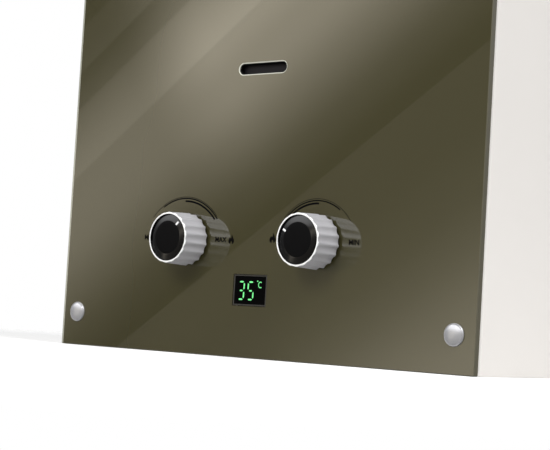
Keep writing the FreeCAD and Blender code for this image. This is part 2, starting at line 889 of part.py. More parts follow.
def flatted(item, radius, flat):
    """A circle about the origin with one flat, on its right."""
    reach = f"({radius} - {flat})"
    half = math.acos(size(reach) / size(radius))
    ring = Part.Circle(Vector(), Vector(0, 0, 1), size(radius))
    arc = item.addGeometry(Part.ArcOfCircle(ring, half, 2 * math.pi - half), False)
    high = Vector(size(reach), size(radius) * math.sin(half), 0)
    low = Vector(high.x, -high.y, 0)
    line = item.addGeometry(Part.LineSegment(high, low), False)
    item.addConstraint(Sketcher.Constraint("Coincident", arc, 3, -1, 1))
    item.addConstraint(Sketcher.Constraint("Coincident", arc, 1, line, 1))
    item.addConstraint(Sketcher.Constraint("Coincident", arc, 2, line, 2))
    item.addConstraint(Sketcher.Constraint("Vertical", line))
    dimension(item, "Radius", (arc,), radius)
    dimension(item, "DistanceX", (-1, 1, line, 1), reach)
    return item


HUB_DEPTH = "(knob_reach - knob_gap - face_thick - face_sink - face_web)"


def knob(name, x, turn):
    """Tapered metal knob, its flutes cut straight, with a hub on the flat of its spindle."""
    body = new_body(name)
    disc = circle(front_sketch(body, "-knob_gap"), 0, 0, "knob_radius")
    tie(pad(body, disc, "knob_reach - knob_gap"), TaperAngle="-knob_taper * 1 deg")
    doc.recompute()

    def rim(middle, edge):
        return near(middle.y, "-knob_reach") or near(middle.y, "-knob_gap")

    dress(body, "Chamfer", "knob_bevel", rim)
    hollow = front_sketch(body, "-knob_gap")
    circle(hollow, 0, 0, "knob_radius - flute_depth - knob_wall")
    circle(hollow, 0, 0, "hub_radius")
    pocket(body, hollow, HUB_DEPTH, backward=True)
    bore = flatted(front_sketch(body, "-knob_gap"), "spindle_bore", "spindle_flat")
    pocket(body, bore, HUB_DEPTH, backward=True)
    seat = circle(front_sketch(body, "-knob_reach"), 0, 0, "face_radius")
    pocket(body, seat, "face_thick + face_sink")
    flute = circle(front_sketch(body, "-knob_reach"), "knob_radius + flute_radius - flute_depth",
                   0, "flute_radius")
    flute_cut = pocket(body, flute, "knob_reach - knob_gap")
    repeat_round(body, flute_cut, "Y_Axis", "flute_count")
    return turned(body, x, turn)


def mark_sketch(body, y, gap):
    return slot(front_sketch(body, y), "mark_reach", 0, f"mark_length + 2 * {gap}",
                f"mark_width + 2 * {gap}")


def knob_face(name, x, turn):
    """Black disc let into the front of a knob, cut out for its pointer."""
    body = new_body(name)
    front = "(face_sink - knob_reach)"
    disc = circle(front_sketch(body, f"{front} + face_thick"), 0, 0, "face_radius - fit_gap")
    pad(body, disc, "face_thick")
    recess = mark_sketch(body, front, "fit_gap")
    pocket(body, recess, "mark_depth")
    return turned(body, x, turn)


def knob_mark(name, x, turn):
    """White pointer inlaid in a knob's face."""
    body = new_body(name)
    bar = mark_sketch(body, "face_sink - knob_reach + mark_depth", "0")
    pad(body, bar, "mark_depth")
    return turned(body, x, turn)


def spindle(name, x, turn):
    """Shaft from the knob into its valve, flatted inside the hub."""
    body = new_body(name)
    tip = f"(-knob_gap - {HUB_DEPTH} + spindle_play)"
    neck = "(-knob_gap)"
    valve = f"({VALVE_FACE} - {GLASS_FRONT})"
    end = f"({valve} + spindle_seat)"
    flat = flatted(front_sketch(body, neck), "spindle_radius", "spindle_flat")
    pad(body, flat, f"{neck} - {tip}")
    shaft = circle(front_sketch(body, end), 0, 0, "spindle_radius")
    pad(body, shaft, f"{end} - {neck}")
    collar = circle(front_sketch(body, f"{valve} - spindle_play"), 0, 0, "collar_radius")
    pad(body, collar, "collar_thick")
    return turned(body, x, turn)


# ---- valves and fittings --------------------------------------------------

def gas_valve_body():
    """Die-cast gas cock: a cross of four ports about a square body."""
    x = f"-{KNOB_X}"
    core = block("gas_valve_core", (f"{x} - valve_half", f"{x} + valve_half"),
                 (f"{VALVE_Y} - valve_half", f"{VALVE_Y} + valve_half"),
                 ("knob_level - valve_half", "knob_level + valve_half"))
    core = bevel_edges("gas_valve_cast", core, "valve_round", lambda middle: True)
    neck = rod("gas_valve_neck", "port_radius", "valve_front + valve_half",
               (x, VALVE_FACE, "knob_level"), "+Y")
    inlet = rod("gas_valve_inlet", "port_radius", "knob_level - port_level",
                (x, VALVE_Y, "port_level"))
    outlet = rod("gas_valve_outlet", "port_radius", "manifold_drop",
                 (x, VALVE_Y, "knob_level"))
    boss = rod("gas_valve_boss", "link_boss", "valve_half + link_grip",
               (x, VALVE_Y, "knob_level"), "+X")
    bore = rod("gas_valve_bore", "spindle_bore", "spindle_seat + 1",
               (x, VALVE_FACE, "knob_level"), "+Y")
    link = rod("gas_valve_link", "link_bore", "link_grip + link_travel + 2",
               (f"{x} + valve_half + link_grip", VALVE_Y, "knob_level"), "-X")
    body = join("gas_valve_solid", [core, neck, inlet, outlet, boss])
    return cut("gas_valve_body", body, [bore, link])


def gas_solenoid():
    """Safety magnet screwed into the side of the gas valve."""
    x = f"(-{KNOB_X} - valve_half)"
    nut = rod("gas_solenoid_nut", "coil_radius - 3", "5", (x, VALVE_Y, "knob_level"), "-X")
    coil = rod("gas_solenoid_coil", "coil_radius", "coil_length - 5",
               (f"{x} - 5", VALVE_Y, "knob_level"), "-X")
    return join("gas_solenoid", [nut, coil])


ARM_TOP = "(knob_level - tube_radius - 2)"


def water_valve_body():
    """Brass water valve with the chamber of the diaphragm on its left."""
    x = KNOB_X
    core = block("water_valve_core", (f"{x} - valve_half", f"{x} + valve_half"),
                 (f"{VALVE_Y} - valve_half", f"{VALVE_Y} + valve_half"),
                 ("knob_level - valve_half", "knob_level + valve_half"))
    core = bevel_edges("water_valve_cast", core, "valve_round",
                       lambda middle: middle.x > size(f"{x} - valve_half / 2"))
    neck = rod("water_valve_neck", "port_radius", "valve_front + valve_half",
               (x, VALVE_FACE, "knob_level"), "+Y")
    inlet = rod("water_valve_inlet", "port_radius", "knob_level - port_level",
                (x, VALVE_Y, "port_level"))
    outlet = rod("water_valve_outlet", "port_radius", "valve_half + 6",
                 (x, VALVE_Y, "knob_level"), "+Y")
    disc = rod("water_valve_disc", "disc_radius", "disc_thick / 2",
               (f"{x} - valve_half", VALVE_Y, "knob_level"), "-X")
    arm = block("water_valve_arm", (f"{x} - drain_arm", f"{x} + drain_arm"),
                (VALVE_Y, DRAIN_Y), (f"{ARM_TOP} - drain_arm", ARM_TOP))
    boss = rod("water_valve_drain", "drain_boss", f"{ARM_TOP} - drain_level",
               (x, DRAIN_Y, "drain_level"))
    bore = rod("water_valve_bore", "spindle_bore", "spindle_seat + 1",
               (x, VALVE_FACE, "knob_level"), "+Y")
    drain = rod("water_valve_drain_bore", "drain_bore", "drain_depth + 1",
                (x, DRAIN_Y, "drain_level"))
    body = join("water_valve_solid", [core, neck, inlet, outlet, disc, arm, boss])
    return cut("water_valve_body", body, [bore, drain])


def diaphragm_cover():
    """Lid of the diaphragm chamber, which guides the push pin."""
    seam = f"({KNOB_X} - valve_half - disc_thick / 2)"
    lid = rod("diaphragm_cover_lid", "disc_radius", "disc_thick / 2",
              (seam, VALVE_Y, "knob_level"), "-X")
    bore = rod("diaphragm_cover_bore", "link_bore", "disc_thick / 2",
               (DISC_LEFT, VALVE_Y, "knob_level"), "+X")
    return cut("diaphragm_cover", lid, [bore])


def push_pin():
    """Pin that the diaphragm pushes into the gas valve, with a switch flag."""
    start = f"(-{KNOB_X} + valve_half)"
    end = f"({DISC_LEFT} + disc_thick / 2 - 0.5)"
    shaft = rod("push_pin_shaft", "link_radius", f"{end} - {start}",
                (start, VALVE_Y, "knob_level"), "+X")
    flag = block("push_pin_flag", (FLAG_LEFT, f"{FLAG_LEFT} + flag_thick"),
                 (f"{VALVE_Y} - flag_half", f"{VALVE_Y} + flag_half"),
                 ("knob_level - flag_drop", "knob_level - flag_drop + flag_height"))
    return join("push_pin", [shaft, flag])


SWITCH_Z = "(knob_level + flag_height - 2 * flag_drop)"


def micro_switch():
    """Snap switch on the diaphragm cover, worked by the pin's flag."""
    left = f"({DISC_LEFT} - switch_length)"
    case = block("micro_switch_case", (left, DISC_LEFT),
                 (f"{VALVE_Y} - switch_half", f"{VALVE_Y} + switch_half"),
                 (f"{SWITCH_Z} - switch_half", f"{SWITCH_Z} + switch_half + 2"))
    pins = []
    for number in range(3):
        pins.append(block(f"micro_switch_pin_{number}",
                          (f"{left} + 2 + 5 * {number}", f"{left} + 3 + 5 * {number}"),
                          (f"{VALVE_Y} - 2", f"{VALVE_Y} + 2"),
                          (f"{SWITCH_Z} + switch_half", f"{SWITCH_Z} + 2 * switch_half + 2")))
    bore = rod("micro_switch_bore", "button_radius + 0.06", "button_length + 1",
               (left, VALVE_Y, SWITCH_Z), "+X")
    return cut("micro_switch", join("micro_switch_solid", [case] + pins), [bore])


def switch_button():
    """Plunger of the snap switch, held in by the flag at rest."""
    start = f"({FLAG_LEFT} + flag_thick + fit_gap)"
    return rod("switch_button", "button_radius", "button_length", (start, VALVE_Y, SWITCH_Z), "+X")


def fitting(name, x):
    """Threaded pipe stub through the floor, with its flange and lock nut."""
    stub = rod(f"{name}_thread", "thread_radius", "floor_recess - thread_drop",
               (x, VALVE_Y, "thread_drop"))
    flange = rod(f"{name}_flange", "fitting_flange", "fitting_flange_thick",
                 (x, VALVE_Y, "floor_recess - fitting_flange_thick"))
    neck = rod(f"{name}_neck", "fitting_neck", "port_level - floor_recess",
               (x, VALVE_Y, "floor_recess"))
    nut = prism(f"{name}_nut", "nut_radius", "nut_thick", (x, VALVE_Y, FLOOR_TOP))
    bore = rod(f"{name}_bore", "thread_bore", "thread_length", (x, VALVE_Y, "thread_drop"))
    return cut(name, join(f"{name}_solid", [stub, flange, neck, nut]), [bore])


def drain_plug():
    """Wing screw under the water valve that empties it against frost."""
    top = "(floor_recess - drain_clear)"
    wing = block("drain_plug_wing", (f"{KNOB_X} - drain_head", f"{KNOB_X} + drain_head"),
                 (f"{DRAIN_Y} - drain_wing / 2", f"{DRAIN_Y} + drain_wing / 2"),
                 (f"{top} - drain_grip", top))
    collar = rod("drain_plug_collar", "drain_head - 1", f"drain_level - fit_gap - {top}",
                 (KNOB_X, DRAIN_Y, top))
    stem = rod("drain_plug_stem", "drain_radius", f"drain_depth + drain_level - {top}",
               (KNOB_X, DRAIN_Y, top))
    return join("drain_plug", [wing, collar, stem])


# ---- burner and exchanger -------------------------------------------------

def gas_manifold():
    """Square rail over the gas valve with a nozzle for each burner blade."""
    half = "(manifold_side / 2)"
    length = "(blade_pitch * (blade_count - 1) / 2 + manifold_side)"
    rail = block("gas_manifold_rail", (f"-{length}", length),
                 (f"{VALVE_Y} - {half}", f"{VALVE_Y} + {half}"),
                 (f"{MANIFOLD_Z} - {half}", f"{MANIFOLD_Z} + {half}"))
    foot = rod("gas_manifold_foot", "tube_radius",
               f"{MANIFOLD_Z} - {half} - knob_level - manifold_drop",
               (f"-{KNOB_X}", VALVE_Y, "knob_level + manifold_drop"))
    nozzles = []
    start = f"({VALVE_Y} + {half})"
    for number in range(round(size("blade_count"))):
        x = f"blade_pitch * ({number} - (blade_count - 1) / 2)"
        nozzles.append(prism(f"gas_manifold_nozzle_{number}", "nozzle_radius",
                             f"{BLADE_FRONT} - nozzle_gap - {start}",
                             (x, start, MANIFOLD_Z), "+Y"))
    return join("gas_manifold", [rail, foot] + nozzles)


def burner_blades():
    """Row of flat burners: an inlet mouth below and a slotted crown on top."""
    body = new_body("burner_blades")
    left = "(-blade_pitch * (blade_count - 1) / 2)"
    crown = f"({CHAMBER_BASE} - 2)"
    side = side_sketch(body, f"{left} - blade_width / 2")
    outline(side, [
        (BLADE_FRONT, BLADE_BASE),
        (f"{BLADE_FRONT} + 42", BLADE_BASE),
        (BLADE_BACK, f"{BLADE_BASE} + 16"),
        (BLADE_BACK, crown),
        (f"{BLADE_FRONT} + 3", crown),
        (f"{BLADE_FRONT} + 3", f"{BLADE_BASE} + 26"),
        (f"{BLADE_FRONT} + 14", f"{BLADE_BASE} + 19"),
        (BLADE_FRONT, f"{BLADE_BASE} + 14"),
    ])
    blade = pad(body, side, "blade_width")
    mouth = rectangle(front_sketch(body, BLADE_FRONT),
                      (f"{left} - mouth_width / 2", f"{left} + mouth_width / 2"),
                      (f"{MANIFOLD_Z} - mouth_height / 2", f"{MANIFOLD_Z} + mouth_height / 2"))
    mouth_cut = pocket(body, mouth, "mouth_depth")
    ports = []
    for number in range(round(size("port_count"))):
        gap = rectangle(top_sketch(body, crown),
                        (f"{left} - blade_width / 2 + 2", f"{left} + blade_width / 2 - 2"),
                        (f"{BLADE_FRONT} + 8 + port_pitch * {number}",
                         f"{BLADE_FRONT} + 8 + port_pitch * {number} + port_width"))
        ports.append(pocket(body, gap, "8"))
    row = body.newObject("PartDesign::LinearPattern", "burner_blades_row")
    row.Originals = [blade, mouth_cut] + ports
    row.Direction = (plane(body, "X_Axis"), [""])
    tie(row, Length="blade_pitch * (blade_count - 1)", Occurrences="blade_count")
    body.Tip = row
    return body


def burner_frame():
    """Rim and cross bars that hold the burner blades under the chamber."""
    half = "(chamber_width / 2)"
    rim_base = f"({CHAMBER_BASE} - frame_rim)"
    outer = block("burner_frame_outer", (f"-{half}", half), (CHAMBER_FRONT, CHAMBER_BACK),
                  (rim_base, CHAMBER_BASE))
    inner = block("burner_frame_inner", (f"-({half} - chamber_sheet)", f"{half} - chamber_sheet"),
                  (f"{CHAMBER_FRONT} + chamber_sheet", f"{CHAMBER_BACK} - chamber_sheet"),
                  (f"{rim_base} - 1", f"{CHAMBER_BASE} + 1"))
    parts = [cut("burner_frame_rim", outer, [inner])]
    for number in range(2):
        front = f"({BLADE_FRONT} + 8 + 24 * {number})"
        parts.append(block(f"burner_frame_bar_{number}", (f"-{half}", half),
                           (front, f"{front} + frame_bar"), (f"{BLADE_BASE} - 3", BLADE_BASE)))
        for side in (f"-{half}", f"({half} - chamber_sheet)"):
            parts.append(block(f"burner_frame_leg_{len(parts)}",
                               (side, f"{side} + chamber_sheet"),
                               (front, f"{front} + frame_bar"), (BLADE_BASE, rim_base)))
    return join("burner_frame", parts)


def combustion_chamber():
    """Copper box over the burner, open above and below, bored for the tubes."""
    body = new_body("combustion_chamber")
    half = "(chamber_width / 2)"
    outer = rectangle(top_sketch(body, CHAMBER_BASE), (f"-{half}", half),
                      (CHAMBER_FRONT, CHAMBER_BACK))
    pad(body, outer, "chamber_height")
    inner = rectangle(top_sketch(body, CHAMBER_TOP),
                      (f"-({half} - chamber_sheet)", f"{half} - chamber_sheet"),
                      (f"{CHAMBER_FRONT} + chamber_sheet", f"{CHAMBER_BACK} - chamber_sheet"))
    pocket(body, inner, "chamber_height")
    window = front_sketch(body, CHAMBER_FRONT)
    slot(window, 0, "sight_level", "sight_width", "sight_height + 2")
    for side in ("-", ""):
        circle(window, f"{side}probe_offset", PROBE_Z, "probe_radius + fit_gap")
    pocket(body, window, "chamber_sheet * 2")
    bores = side_sketch(body, half)
    for number in (-1, 0, 1):
        circle(bores, f"{CHAMBER_MIDDLE} + tube_pitch * {number}", TUBE_Z,
               "tube_radius + fit_gap")
    pocket(body, bores, "chamber_width")
    return body


def exchanger_tubes():
    """One tube that crosses the fins three times, turning back outside them."""
    ends = [(1, 1), (-1, 1), (-1, 0), (1, 0), (1, -1), (-1, -1)]
    points = []
    for side, row_of_tube in ends:
        points.append((f"{side} * tube_reach", f"{CHAMBER_MIDDLE} + tube_pitch * {row_of_tube}",
                       TUBE_Z))
    return run_of_pipe("exchanger_tubes", "tube_radius", "tube_pitch / 2", points)


def exchanger_fins():
    """Stack of plates on the tubes that takes up the heat."""
    body = new_body("exchanger_fins")
    left = "(-fin_pitch * (fin_count - 1) / 2 - fin_thick / 2)"
    face = side_sketch(body, left)
    rectangle(face, (f"{CHAMBER_FRONT} + chamber_sheet + plate_gap",
                     f"{CHAMBER_BACK} - chamber_sheet - plate_gap"),
              (f"{TUBE_Z} - fin_height / 2", f"{TUBE_Z} + fin_height / 2"))
    for number in (-1, 0, 1):
        circle(face, f"{CHAMBER_MIDDLE} + tube_pitch * {number}", TUBE_Z,
               "tube_radius + fit_gap")
    fin = pad(body, face, "fin_thick")
    repeat_line(body, fin, "X_Axis", "fin_pitch", "fin_count")
    return body


def inlet_pipe():
    """Cold water from the back of the water valve up to the exchanger."""
    high = f"({CHAMBER_MIDDLE} + tube_pitch)"
    return run_of_pipe("inlet_pipe", "tube_radius", "pipe_bend", [
        (KNOB_X, f"{VALVE_Y} + valve_half + 6", "knob_level"),
        (KNOB_X, high, "knob_level"),
        (RISER_X, high, "knob_level"),
        (RISER_X, high, TUBE_Z),
        ("tube_reach", high, TUBE_Z),
    ])


def outlet_pipe():
    """Hot water from the exchanger down to its fitting."""
    low = f"({CHAMBER_MIDDLE} - tube_pitch)"
    return run_of_pipe("outlet_pipe", "tube_radius", "pipe_bend", [
        ("-tube_reach", low, TUBE_Z),
        (f"-{RISER_X}", low, TUBE_Z),
        (f"-{RISER_X}", low, "outlet_jog + outlet_fall"),
        ("-hot_offset", VALVE_Y, "outlet_jog"),
        ("-hot_offset", VALVE_Y, "port_level"),
    ])


def electrode_bracket():
    """Strip on the chamber that carries the two probes round the sight window."""
    body = new_body("electrode_bracket")
    face = rectangle(front_sketch(body, CHAMBER_FRONT),
                     ("-(probe_offset + bracket_reach)", "probe_offset + bracket_reach"),
                     (f"{PROBE_Z} - bracket_rise", f"{PROBE_Z} + bracket_rise"))
    pad(body, face, "chamber_sheet")
    openings = front_sketch(body, f"{CHAMBER_FRONT} - chamber_sheet")
    slot(openings, 0, "sight_level", "sight_width", "sight_height + 2")
    for side in ("-", ""):
        circle(openings, f"{side}probe_offset", PROBE_Z, "probe_radius + fit_gap")
    pocket(body, openings, "chamber_sheet * 2")
    return body


def probe(name, x, reach):
    """Ceramic sleeve in the bracket with a wire over the flame."""
    front = f"({CHAMBER_FRONT} - chamber_sheet - probe_front)"
    sleeve = rod(f"{name}_sleeve", "probe_radius", "probe_sleeve", (x, front, PROBE_Z), "+Y")
    wire = rod(f"{name}_wire", "probe_wire", reach,
               (x, f"{front} + probe_sleeve", PROBE_Z), "+Y")
    return join(name, [sleeve, wire])


def overheat_switch():
    """Button thermostat clipped on the chamber's right side."""
    level = f"({CHAMBER_BASE} + cutout_rise)"
    foot = block("overheat_switch_foot", (CHAMBER_SIDE, f"{CHAMBER_SIDE} + bracket_sheet"),
                 (f"{CHAMBER_MIDDLE} - cutout_length / 2", f"{CHAMBER_MIDDLE} + cutout_length / 2"),
                 (f"{level} - cutout_side / 2", f"{level} + cutout_side / 2"))
    can = rod("overheat_switch_can", "cutout_radius", "cutout_height",
              (f"{CHAMBER_SIDE} + bracket_sheet", CHAMBER_MIDDLE, level), "+X")
    return join("overheat_switch", [foot, can])


def water_sensor():
    """Clamp round the hot pipe that carries the display's sensor."""
    y = f"({CHAMBER_MIDDLE} - tube_pitch)"
    level = f"({CHAMBER_BASE} + sensor_rise)"
    clamp = rod("water_sensor_clamp", "tube_radius + sensor_wall", "sensor_height",
                (f"-{RISER_X}", y, level))
    bulb = block("water_sensor_bulb", (f"-{RISER_X} - sensor_bulb / 2",
                 f"-{RISER_X} + sensor_bulb / 2"),
                 (f"{y} - tube_radius - sensor_wall - sensor_bulb", y),
                 (f"{level} + sensor_wall", f"{level} + sensor_height - sensor_wall"))
    bore = rod("water_sensor_bore", "tube_radius + 0.1", "sensor_height + 2",
               (f"-{RISER_X}", y, f"{level} - 1"))
    return cut("water_sensor", join("water_sensor_solid", [clamp, bulb]), [bore])


def chamber_bracket(name, rise):
    """Channel that hangs the chamber on the back plate."""
    level = f"({CHAMBER_BASE} + {rise})"
    outer = block(f"{name}_outer", ("-bracket_half", "bracket_half"),
                  (CHAMBER_BACK, BACK_INSIDE), (level, f"{level} + bracket_height"))
    inner = block(f"{name}_inner", ("-bracket_half - 1", "bracket_half + 1"),
                  (f"{CHAMBER_BACK} + bracket_sheet", f"{BACK_INSIDE} - bracket_sheet"),
                  (f"{level} - 1", f"{level} + bracket_height - bracket_sheet"))
    return cut(name, outer, [inner])


def wedge(name, inset):
    """Solid between the top of the chamber and the flue opening."""
    top = "(case_height - cover_sheet - hood_gap)"
    item = doc.addObject("Part::Wedge", name)
    item.Placement = FreeCAD.Placement(Vector(), Rotation(Vector(1, 0, 0), 90))
    flue = "(guard_width / 2 - flue_margin)"
    tie(item, Xmin=f"-({CHAMBER_SIDE} - {inset})", Xmax=f"{CHAMBER_SIDE} - {inset}",
        X2min=f"-({flue} - {inset})", X2max=f"{flue} - {inset}",
        Ymin=CHAMBER_TOP, Ymax=top,
        Zmin=f"-({CHAMBER_BACK} - {inset})", Zmax=f"-({CHAMBER_FRONT} + {inset})",
        Z2min=f"-({CHAMBER_BACK} - flue_margin - {inset})",
        Z2max=f"-({CHAMBER_FRONT} + flue_margin + {inset})")
    return item


def draft_hood():
    """Tapered hood from the exchanger to the flue opening in the top."""
    return cut("draft_hood", wedge("draft_hood_outer", "0"),
               [wedge("draft_hood_inner", "chamber_sheet")])


# ---- igniter and batteries ------------------------------------------------

def igniter_module():
    """Control box on the back plate with its row of plugs."""
    left = f"(-{PLATE_SIDE} + igniter_inset)"
    case = block("igniter_module_case", (left, f"{left} + igniter_width"),
                 (f"{BACK_INSIDE} - igniter_depth", BACK_INSIDE),
                 ("igniter_level", "igniter_level + igniter_height"))
    plugs = []
    front = f"({BACK_INSIDE} - (igniter_depth + plug_depth) / 2)"
    for number in range(round(size("plug_count"))):
        start = f"({left} + plug_height + plug_pitch * {number})"
        plugs.append(block(f"igniter_module_plug_{number}", (start, f"{start} + plug_width"),
                           (front, f"{front} + plug_depth"),
                           ("igniter_level - plug_height", "igniter_level")))
    return join("igniter_module", [case] + plugs)


def battery_box():
    """Box for two cells, open below, with rails for its sliding hatch."""
    shell = block("battery_box_shell", (BOX_LEFT, BOX_RIGHT), (BOX_FRONT, BOX_BACK),
                  (BOX_BASE, f"{BOX_BASE} + box_height"))
    hollow = block("battery_box_hollow", (f"{BOX_LEFT} + box_wall", f"{BOX_RIGHT} - box_wall"),
                   (f"{BOX_FRONT} + box_wall", f"{BOX_BACK} - box_wall"),
                   (f"{BOX_BASE} - 1", f"{BOX_BASE} + box_height - box_wall"))
    along = (f"{BOX_FRONT} - lip_thick", f"{BOX_BACK} + lip_thick")
    lip = block("battery_box_lip", (f"{BOX_LEFT} - rail_reach", f"{BOX_RIGHT} + rail_reach"),
                along, (BOX_BASE, "floor_recess"))
    rail_base = f"({BOX_BASE} - hatch_plate - 2 * fit_gap - rail_thick)"
    left = f"({BOX_LEFT} - rail_reach)"
    right = f"({BOX_RIGHT} + rail_reach)"
    rails = [
        block("battery_box_rail_left", (left, f"{left} + rail_thick"), along,
              (rail_base, BOX_BASE)),
        block("battery_box_foot_left", (left, f"{left} + rail_thick + rail_grip"), along,
              (rail_base, f"{rail_base} + rail_thick")),
        block("battery_box_rail_right", (f"{right} - rail_thick", right), along,
              (rail_base, BOX_BASE)),
        block("battery_box_foot_right", (f"{right} - rail_thick - rail_grip", right), along,
              (rail_base, f"{rail_base} + rail_thick")),
    ]
    solid = join("battery_box_solid", [shell, lip] + rails)
    return cut("battery_box", solid, [hollow])


def battery_hatch():
    """Lid of the battery box, which slides towards the back."""
    top = f"({BOX_BASE} - fit_gap)"
    edge = "rail_reach - rail_thick - fit_gap"
    plate = block("battery_hatch_plate", (f"{BOX_LEFT} - ({edge})", f"{BOX_RIGHT} + {edge}"),
                  (f"{BOX_FRONT} - lip_thick", f"{BOX_BACK} + lip_thick"),
                  (f"{top} - hatch_plate", top))
    ribs = []
    for number in range(round(size("rib_count"))):
        back = f"({BOX_BACK} - rib_pitch * ({number} + 1))"
        ribs.append(block(f"battery_hatch_rib_{number}",
                          (f"{BOX_LEFT} + rib_inset", f"{BOX_RIGHT} - rib_inset"),
                          (f"{back} - rib_width", back),
                          (f"{top} - hatch_plate - rib_width", f"{top} - hatch_plate")))
    return join("battery_hatch", [plate] + ribs)


def cell_place(place):
    """Middle of one of the two cells, left 0 and right 1."""
    x = f"({BOX_LEFT} + box_wall + box_play + cell_radius * {2 * place + 1})"
    return x, f"(({BOX_FRONT} + {BOX_BACK}) / 2)"


def battery(name, place):
    """One cell, with its raised contact on top."""
    x, y = cell_place(place)
    base = f"({BOX_BASE} + fit_gap)"
    can = rod(f"{name}_can", "cell_radius - 0.1", "cell_length - nub_height", (x, y, base))
    nub = rod(f"{name}_nub", "nub_radius", "nub_height",
              (x, y, f"{base} + cell_length - nub_height"))
    return join(name, [can, nub])


def battery_contacts():
    """Contact strip across the box with a bent spring over each cell."""
    middle = cell_place(0)[1]
    top = f"({BOX_BASE} + box_height - box_wall)"
    strip = block("battery_contacts_strip",
                  (f"{BOX_LEFT} + 2 * box_wall", f"{BOX_RIGHT} - 2 * box_wall"),
                  (f"{middle} - spring_half", f"{middle} + spring_half"),
                  (f"{top} - spring_thick", top))
    springs = []
    low = f"({BOX_BASE} + 2 * fit_gap + cell_length)"
    for place in range(2):
        x = cell_place(place)[0]
        foot = block(f"battery_contacts_foot_{place}", (f"{x} - spring_half", f"{x} + spring_half"),
                     (f"{middle} - spring_half / 2", f"{middle} + spring_half / 2"),
                     (low, f"{low} + spring_thick"))
        post = block(f"battery_contacts_post_{place}",
                     (f"{x} - spring_half", f"{x} - spring_half + spring_thick"),
                     (f"{middle} - spring_half / 2", f"{middle} + spring_half / 2"), (low, top))
        springs += [foot, post]
    return join("battery_contacts", [strip] + springs)


# ---- handle ---------------------------------------------------------------

def handle_lug(name, side):
    """Upright ear on the casing top that carries one end of the handle."""
    body = new_body(name)
    inner = "lug_offset" if side > 0 else "-lug_offset - lug_thick"
    face = side_sketch(body, inner)
    outline(face, [
        (f"{PIVOT_Y} - lug_radius - 6", "case_height"),
        (f"{PIVOT_Y} + lug_radius + 6", "case_height"),
        (f"{PIVOT_Y} + lug_radius", f"{PIVOT_Z} + 2"),
        (f"{PIVOT_Y} + lug_radius * 0.5", f"{PIVOT_Z} + lug_radius"),
        (f"{PIVOT_Y} - lug_radius * 0.5", f"{PIVOT_Z} + lug_radius"),
        (f"{PIVOT_Y} - lug_radius", f"{PIVOT_Z} + 2"),
    ])
    pad(body, face, "lug_thick")
    foot = top_sketch(body, "case_height")
    outer = ("lug_offset + lug_thick + lug_foot" if side > 0
             else "-lug_offset - lug_thick - lug_foot")
    near_side = "lug_offset + lug_thick" if side > 0 else "-lug_offset - lug_thick"
    pair = (near_side, outer) if side > 0 else (outer, near_side)
    rectangle(foot, pair, (f"{PIVOT_Y} - lug_radius - 6", f"{PIVOT_Y} + lug_radius + 6"))
    pad(body, foot, "2")
    bore = circle(side_sketch(body, inner), PIVOT_Y, PIVOT_Z, "bail_bore")
    pocket(body, bore, "lug_thick", backward=True)
    return body


def handle_bail():
    """Round bar bent to a bow, with its ends turned out into the lugs."""
    end = "(lug_offset + lug_thick + 2)"
    leg = "(lug_offset - bail_bend - bail_side_gap)"
    points = [(end, PIVOT_Y, PIVOT_Z), (leg, PIVOT_Y, PIVOT_Z), (leg, GRIP_Y, PIVOT_Z),
              (f"-{leg}", GRIP_Y, PIVOT_Z), (f"-{leg}", PIVOT_Y, PIVOT_Z),
              (f"-{end}", PIVOT_Y, PIVOT_Z)]
    return run_of_pipe("handle_bail", "bail_radius", "bail_bend", points)


def handle_grip():
    """Moulded sleeve on the middle of the handle."""
    body = new_body("handle_grip")
    half = "(grip_length / 2)"
    profile = outline(sketch(body, "XY_Plane"), [
        (f"-{half}", "bail_bore"),
        (half, "bail_bore"),
        (half, "grip_radius - 2"),
        (f"{half} - 2", "grip_radius"),
        (f"-{half} + 2", "grip_radius"),
        (f"-{half}", "grip_radius - 2"),
    ])
    spin(body, profile, "H_Axis")
    return put(body, 0, GRIP_Y, PIVOT_Z)


# ---- assembly -------------------------------------------------------------

def build():
    """Every sub-part, in the order of the list of parts."""
    left = f"-{KNOB_X}"
    pieces = [front_cover(), back_plate(), bottom_plate(), glass_panel(), glass_foam_tape()]
    pieces += screw_caps()
    pieces += [glass_screws(), sight_pane(), display_lens(), display_board(), flue_guard()]
    for name, x, turn in (("gas", left, "gas_knob_turn"), ("water", KNOB_X, "water_knob_turn")):
        pieces.append(knob(f"{name}_knob", x, turn))
        pieces.append(knob_face(f"{name}_knob_face", x, turn))
        pieces.append(knob_mark(f"{name}_knob_mark", x, turn))
        pieces.append(spindle(f"{name}_spindle", x, turn))
    pieces += [gas_valve_body(), gas_solenoid(), water_valve_body(), diaphragm_cover()]
    pieces += [push_pin(), micro_switch(), switch_button()]
    pieces.append(fitting("hot_outlet_fitting", "-hot_offset"))
    pieces.append(fitting("gas_inlet_fitting", left))
    pieces.append(fitting("cold_inlet_fitting", KNOB_X))
    pieces += [drain_plug(), gas_manifold(), burner_blades(), burner_frame()]
    pieces += [combustion_chamber(), exchanger_tubes(), exchanger_fins()]
    pieces += [inlet_pipe(), outlet_pipe(), electrode_bracket()]
    pieces.append(probe("ignition_electrode", "-probe_offset", "18"))
    pieces.append(probe("flame_sensor", "probe_offset", "26"))
    pieces += [overheat_switch(), water_sensor()]
    pieces.append(chamber_bracket("chamber_bracket_low", "bracket_low"))
    pieces.append(chamber_bracket("chamber_bracket_high", "bracket_high"))
    pieces += [draft_hood(), igniter_module(), battery_box(), battery_hatch()]
    pieces += [battery("battery_left", 0), battery("battery_right", 1), battery_contacts()]
    pieces += [handle_lug("handle_lug_left", -1), handle_lug("handle_lug_right", 1)]
    pieces += [handle_bail(), handle_grip()]
    return pieces


